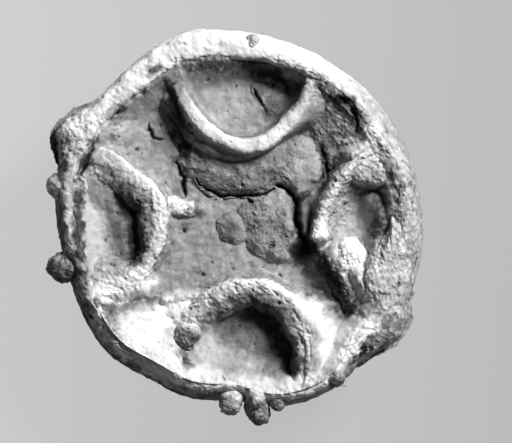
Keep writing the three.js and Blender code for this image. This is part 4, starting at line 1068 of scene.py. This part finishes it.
# %% Shader wires
class Wire:
    """A socket of a shader tree. Operators add Math nodes, and node() adds any other node."""

    def __init__(self, tree, socket=None):
        self.tree = tree
        self.socket = socket

    def node(self, kind, settings, inputs, output=0):
        """New node: its settings first, then values or wires by socket name or number."""
        made = self.tree.nodes.new(kind)
        for key, value in settings.items():
            if key == "stops":
                while len(made.color_ramp.elements) < len(value):
                    made.color_ramp.elements.new(0.5)
                for element, (place, colour) in zip(made.color_ramp.elements, value):
                    element.position = place
                    element.color = (*colour, 1)
            else:
                setattr(made, key, value)
        for key, value in inputs.items():
            if isinstance(value, Wire):
                self.tree.links.new(value.socket, made.inputs[key])
            else:
                made.inputs[key].default_value = value
        return Wire(self.tree, made.outputs[output] if len(made.outputs) else None)

    def maths(self, operation, first, second):
        """Math node on two values or wires."""
        return self.node("ShaderNodeMath", {"operation": operation}, {0: first, 1: second})

    def __add__(self, other):
        return self.maths("ADD", self, other)

    def __radd__(self, other):
        return self.maths("ADD", other, self)

    def __sub__(self, other):
        return self.maths("SUBTRACT", self, other)

    def __rsub__(self, other):
        return self.maths("SUBTRACT", other, self)

    def __mul__(self, other):
        return self.maths("MULTIPLY", self, other)

    def __rmul__(self, other):
        return self.maths("MULTIPLY", other, self)


# %% Finishes
def grey(level, warmth=0.0):
    """A grey with a little warmth: red up and blue down by that share."""
    return (level * (1 + warmth), level, level * (1 - warmth))


DUST_MM = 0.9
DUST_STRENGTH, FINE_STRENGTH = 0.28, 0.08


def finish(name, stops, speck_share, speck_depth, roughness, metallic, grain_mm, bump):
    """Tone to colour by a ramp, after fine clouds and dark specks, with a fine grain in the bump."""
    material = bpy.data.materials.new(name)
    material.use_nodes = True
    tree = material.node_tree
    tree.nodes.clear()
    start = Wire(tree)
    place = start.node("ShaderNodeTexCoord", {}, {}, "Object")
    tone = start.node("ShaderNodeAttribute", {"attribute_name": "tone"}, {}, "Fac")
    dust = start.node("ShaderNodeTexNoise", {}, {"Vector": place, "Scale": METRE / DUST_MM, "Detail": 5.0,
                                                 "Roughness": 0.62}, "Fac")
    fine = start.node("ShaderNodeTexNoise", {}, {"Vector": place, "Scale": METRE / grain_mm, "Detail": 3.0,
                                                 "Roughness": 0.6}, "Fac")
    cells = start.node("ShaderNodeTexVoronoi", {}, {"Vector": place, "Scale": METRE / (grain_mm * 2)}, "Distance")
    speck = start.node("ShaderNodeMapRange", {"interpolation_type": "SMOOTHSTEP"},
                       {"Value": fine, 1: speck_share + 0.06, 2: speck_share - 0.04, 3: 0.0, 4: 1.0})
    level = tone + (dust - 0.5) * DUST_STRENGTH + (fine - 0.5) * FINE_STRENGTH - speck * speck_depth
    colour = start.node("ShaderNodeValToRGB", {"stops": stops}, {"Fac": level}, "Color")
    rough = roughness + (fine - 0.5) * 0.3
    height = fine + (1.0 - cells) * 0.5
    normal = start.node("ShaderNodeBump", {}, {"Strength": bump, "Distance": grain_mm * 0.35 / METRE,
                                               "Height": height}, "Normal")
    shader = start.node("ShaderNodeBsdfPrincipled", {}, {
        "Base Color": colour, "Roughness": rough, "Metallic": metallic, "Normal": normal,
        "Specular IOR Level": 0.3}, "BSDF")
    start.node("ShaderNodeOutputMaterial", {}, {"Surface": shader})
    return material


BRONZE_STOPS = [(0.0, grey(0.012)), (0.2, grey(0.06)), (0.4, grey(0.2)), (0.55, grey(0.36, 0.006)),
                (0.75, grey(0.58, 0.01)), (1.0, grey(0.86, 0.008))]
CRUST_STOPS = [(0.0, grey(0.012)), (0.2, grey(0.055)), (0.4, grey(0.19, 0.01)), (0.6, grey(0.4, 0.014)),
               (0.8, grey(0.64, 0.012)), (1.0, grey(0.88, 0.01))]
finishes = {
    "corroded_bronze": finish("corroded_bronze", BRONZE_STOPS, 0.36, 0.1, 0.72, 0.1, 0.18, 0.3),
    "worn_bronze": finish("worn_bronze", BRONZE_STOPS, 0.37, 0.1, 0.66, 0.05, 0.17, 0.3),
    "pale_crust": finish("pale_crust", CRUST_STOPS, 0.39, 0.14, 0.9, 0.0, 0.18, 0.35),
    "dark_crust": finish("dark_crust", CRUST_STOPS, 0.39, 0.12, 0.88, 0.0, 0.18, 0.35),
}
for name, piece in pieces.items():
    piece.data.materials.append(finishes[slots[name]])
print("finishes:", ", ".join(finishes))

# %% [markdown]
# ## Ground, light and camera
# The photograph has one soft lamp high at the upper right, and a pale ground well below the seal. The
# ground's own colour throws soft light up on the outer sides. What the camera sees of it is mostly a
# plain glow of its own, so that the shadow on it stays faint, as it does under the real one.

# %% Ground and world
GROUND_SIZE = 1.5
GROUND_GLOW_SHARE = 0.9
GROUND_FADE = 0.03  # the ground darkens from left to right, over this far on either side of the middle
GROUND_LEFT, GROUND_RIGHT = 0.642, 0.507
SKY_GREY, SKY_LIGHT = (0.52, 0.52, 0.515, 1), 0.03
ground_mesh = bpy.data.meshes.new("ground")
half = GROUND_SIZE / 2
ground_mesh.from_pydata([(-half, -half, 0), (half, -half, 0), (half, half, 0), (-half, half, 0)], [], [(0, 1, 2, 3)])
ground = bpy.data.objects.new("ground", ground_mesh)
bpy.context.scene.collection.objects.link(ground)
ground_material = bpy.data.materials.new("pale_ground")
ground_material.use_nodes = True
ground_material.node_tree.nodes.clear()
start = Wire(ground_material.node_tree)
place = start.node("ShaderNodeTexCoord", {}, {}, "Object")
lengthwise = start.node("ShaderNodeSeparateXYZ", {}, {0: place}, 0)
shade = start.node("ShaderNodeMapRange", {}, {
    "Value": lengthwise, 1: -GROUND_FADE, 2: GROUND_FADE, 3: GROUND_LEFT, 4: GROUND_RIGHT})
paper = start.node("ShaderNodeCombineColor", {}, {0: shade, 1: shade, 2: shade * 0.99}, 0)
lit = start.node("ShaderNodeBsdfDiffuse", {}, {"Color": paper}, 0)
glow = start.node("ShaderNodeEmission", {}, {"Color": paper, "Strength": 1.0}, 0)
rays = start.node("ShaderNodeLightPath", {}, {}, "Is Camera Ray")
mixed = start.node("ShaderNodeMixShader", {}, {0: rays * GROUND_GLOW_SHARE, 1: lit, 2: glow}, 0)
start.node("ShaderNodeOutputMaterial", {}, {"Surface": mixed})
ground_mesh.materials.append(ground_material)

world = bpy.data.worlds.new("studio")
bpy.context.scene.world = world
world.use_nodes = True
world.node_tree.nodes.clear()
start = Wire(world.node_tree)
seen = start.node("ShaderNodeLightPath", {}, {}, "Is Camera Ray")
dim = start.node("ShaderNodeBackground", {}, {"Color": (1, 1, 1, 1), "Strength": SKY_LIGHT}, 0)
pale = start.node("ShaderNodeBackground", {}, {"Color": SKY_GREY, "Strength": 1.0}, 0)
sky = start.node("ShaderNodeMixShader", {}, {0: seen, 1: dim, 2: pale}, 0)
start.node("ShaderNodeOutputWorld", {}, {"Surface": sky})
print("ground", GROUND_SIZE, "m square")

# %% Lamp
LAMP_DISTANCE = 0.6
LAMP_AZIMUTH = np.radians(45)
LAMP_ELEVATION = np.radians(40)
LAMP_SIZE = 0.2
LAMP_POWER = 5.4
lamp_data = bpy.data.lights.new("key", "AREA")
lamp_data.shape = "DISK"
lamp_data.size = LAMP_SIZE
lamp_data.energy = LAMP_POWER
lamp = bpy.data.objects.new("key", lamp_data)
lamp_way = Vector((np.cos(LAMP_ELEVATION) * np.cos(LAMP_AZIMUTH), np.cos(LAMP_ELEVATION) * np.sin(LAMP_AZIMUTH),
                   np.sin(LAMP_ELEVATION)))
lamp.location = lamp_way * LAMP_DISTANCE
lamp.rotation_euler = lamp_way.to_track_quat("Z", "Y").to_euler()
bpy.context.scene.collection.objects.link(lamp)
print("lamp", LAMP_SIZE, "m wide, from", [round(share, 2) for share in lamp_way])

# %% [markdown]
# ## Camera
# A long lens straight above keeps the walls upright, as in a catalogue photograph. Its distance follows
# from the scale: the frame is 512 pixels wide at 0.113 mm each, at the level of the crests.

# %% Camera
LENS = 1500.0
SENSOR = 36.0
FRAME_PIXELS = np.array([512, 443])
frame_width = FRAME_PIXELS[0] * MM_PER_PIXEL / METRE
aim = to_mm(FRAME_PIXELS / 2) / METRE
camera_data = bpy.data.cameras.new("camera")
camera_data.lens = LENS
camera_data.sensor_width = SENSOR
camera = bpy.data.objects.new("camera", camera_data)
camera.location = (aim[0], aim[1], (FIELD + RIM_HEIGHT) / METRE + frame_width * LENS / SENSOR)
bpy.context.scene.collection.objects.link(camera)
bpy.context.scene.camera = camera
bpy.context.scene.view_settings.view_transform = "Standard"
print("camera", round(camera.location.z, 3), "m above the ground")
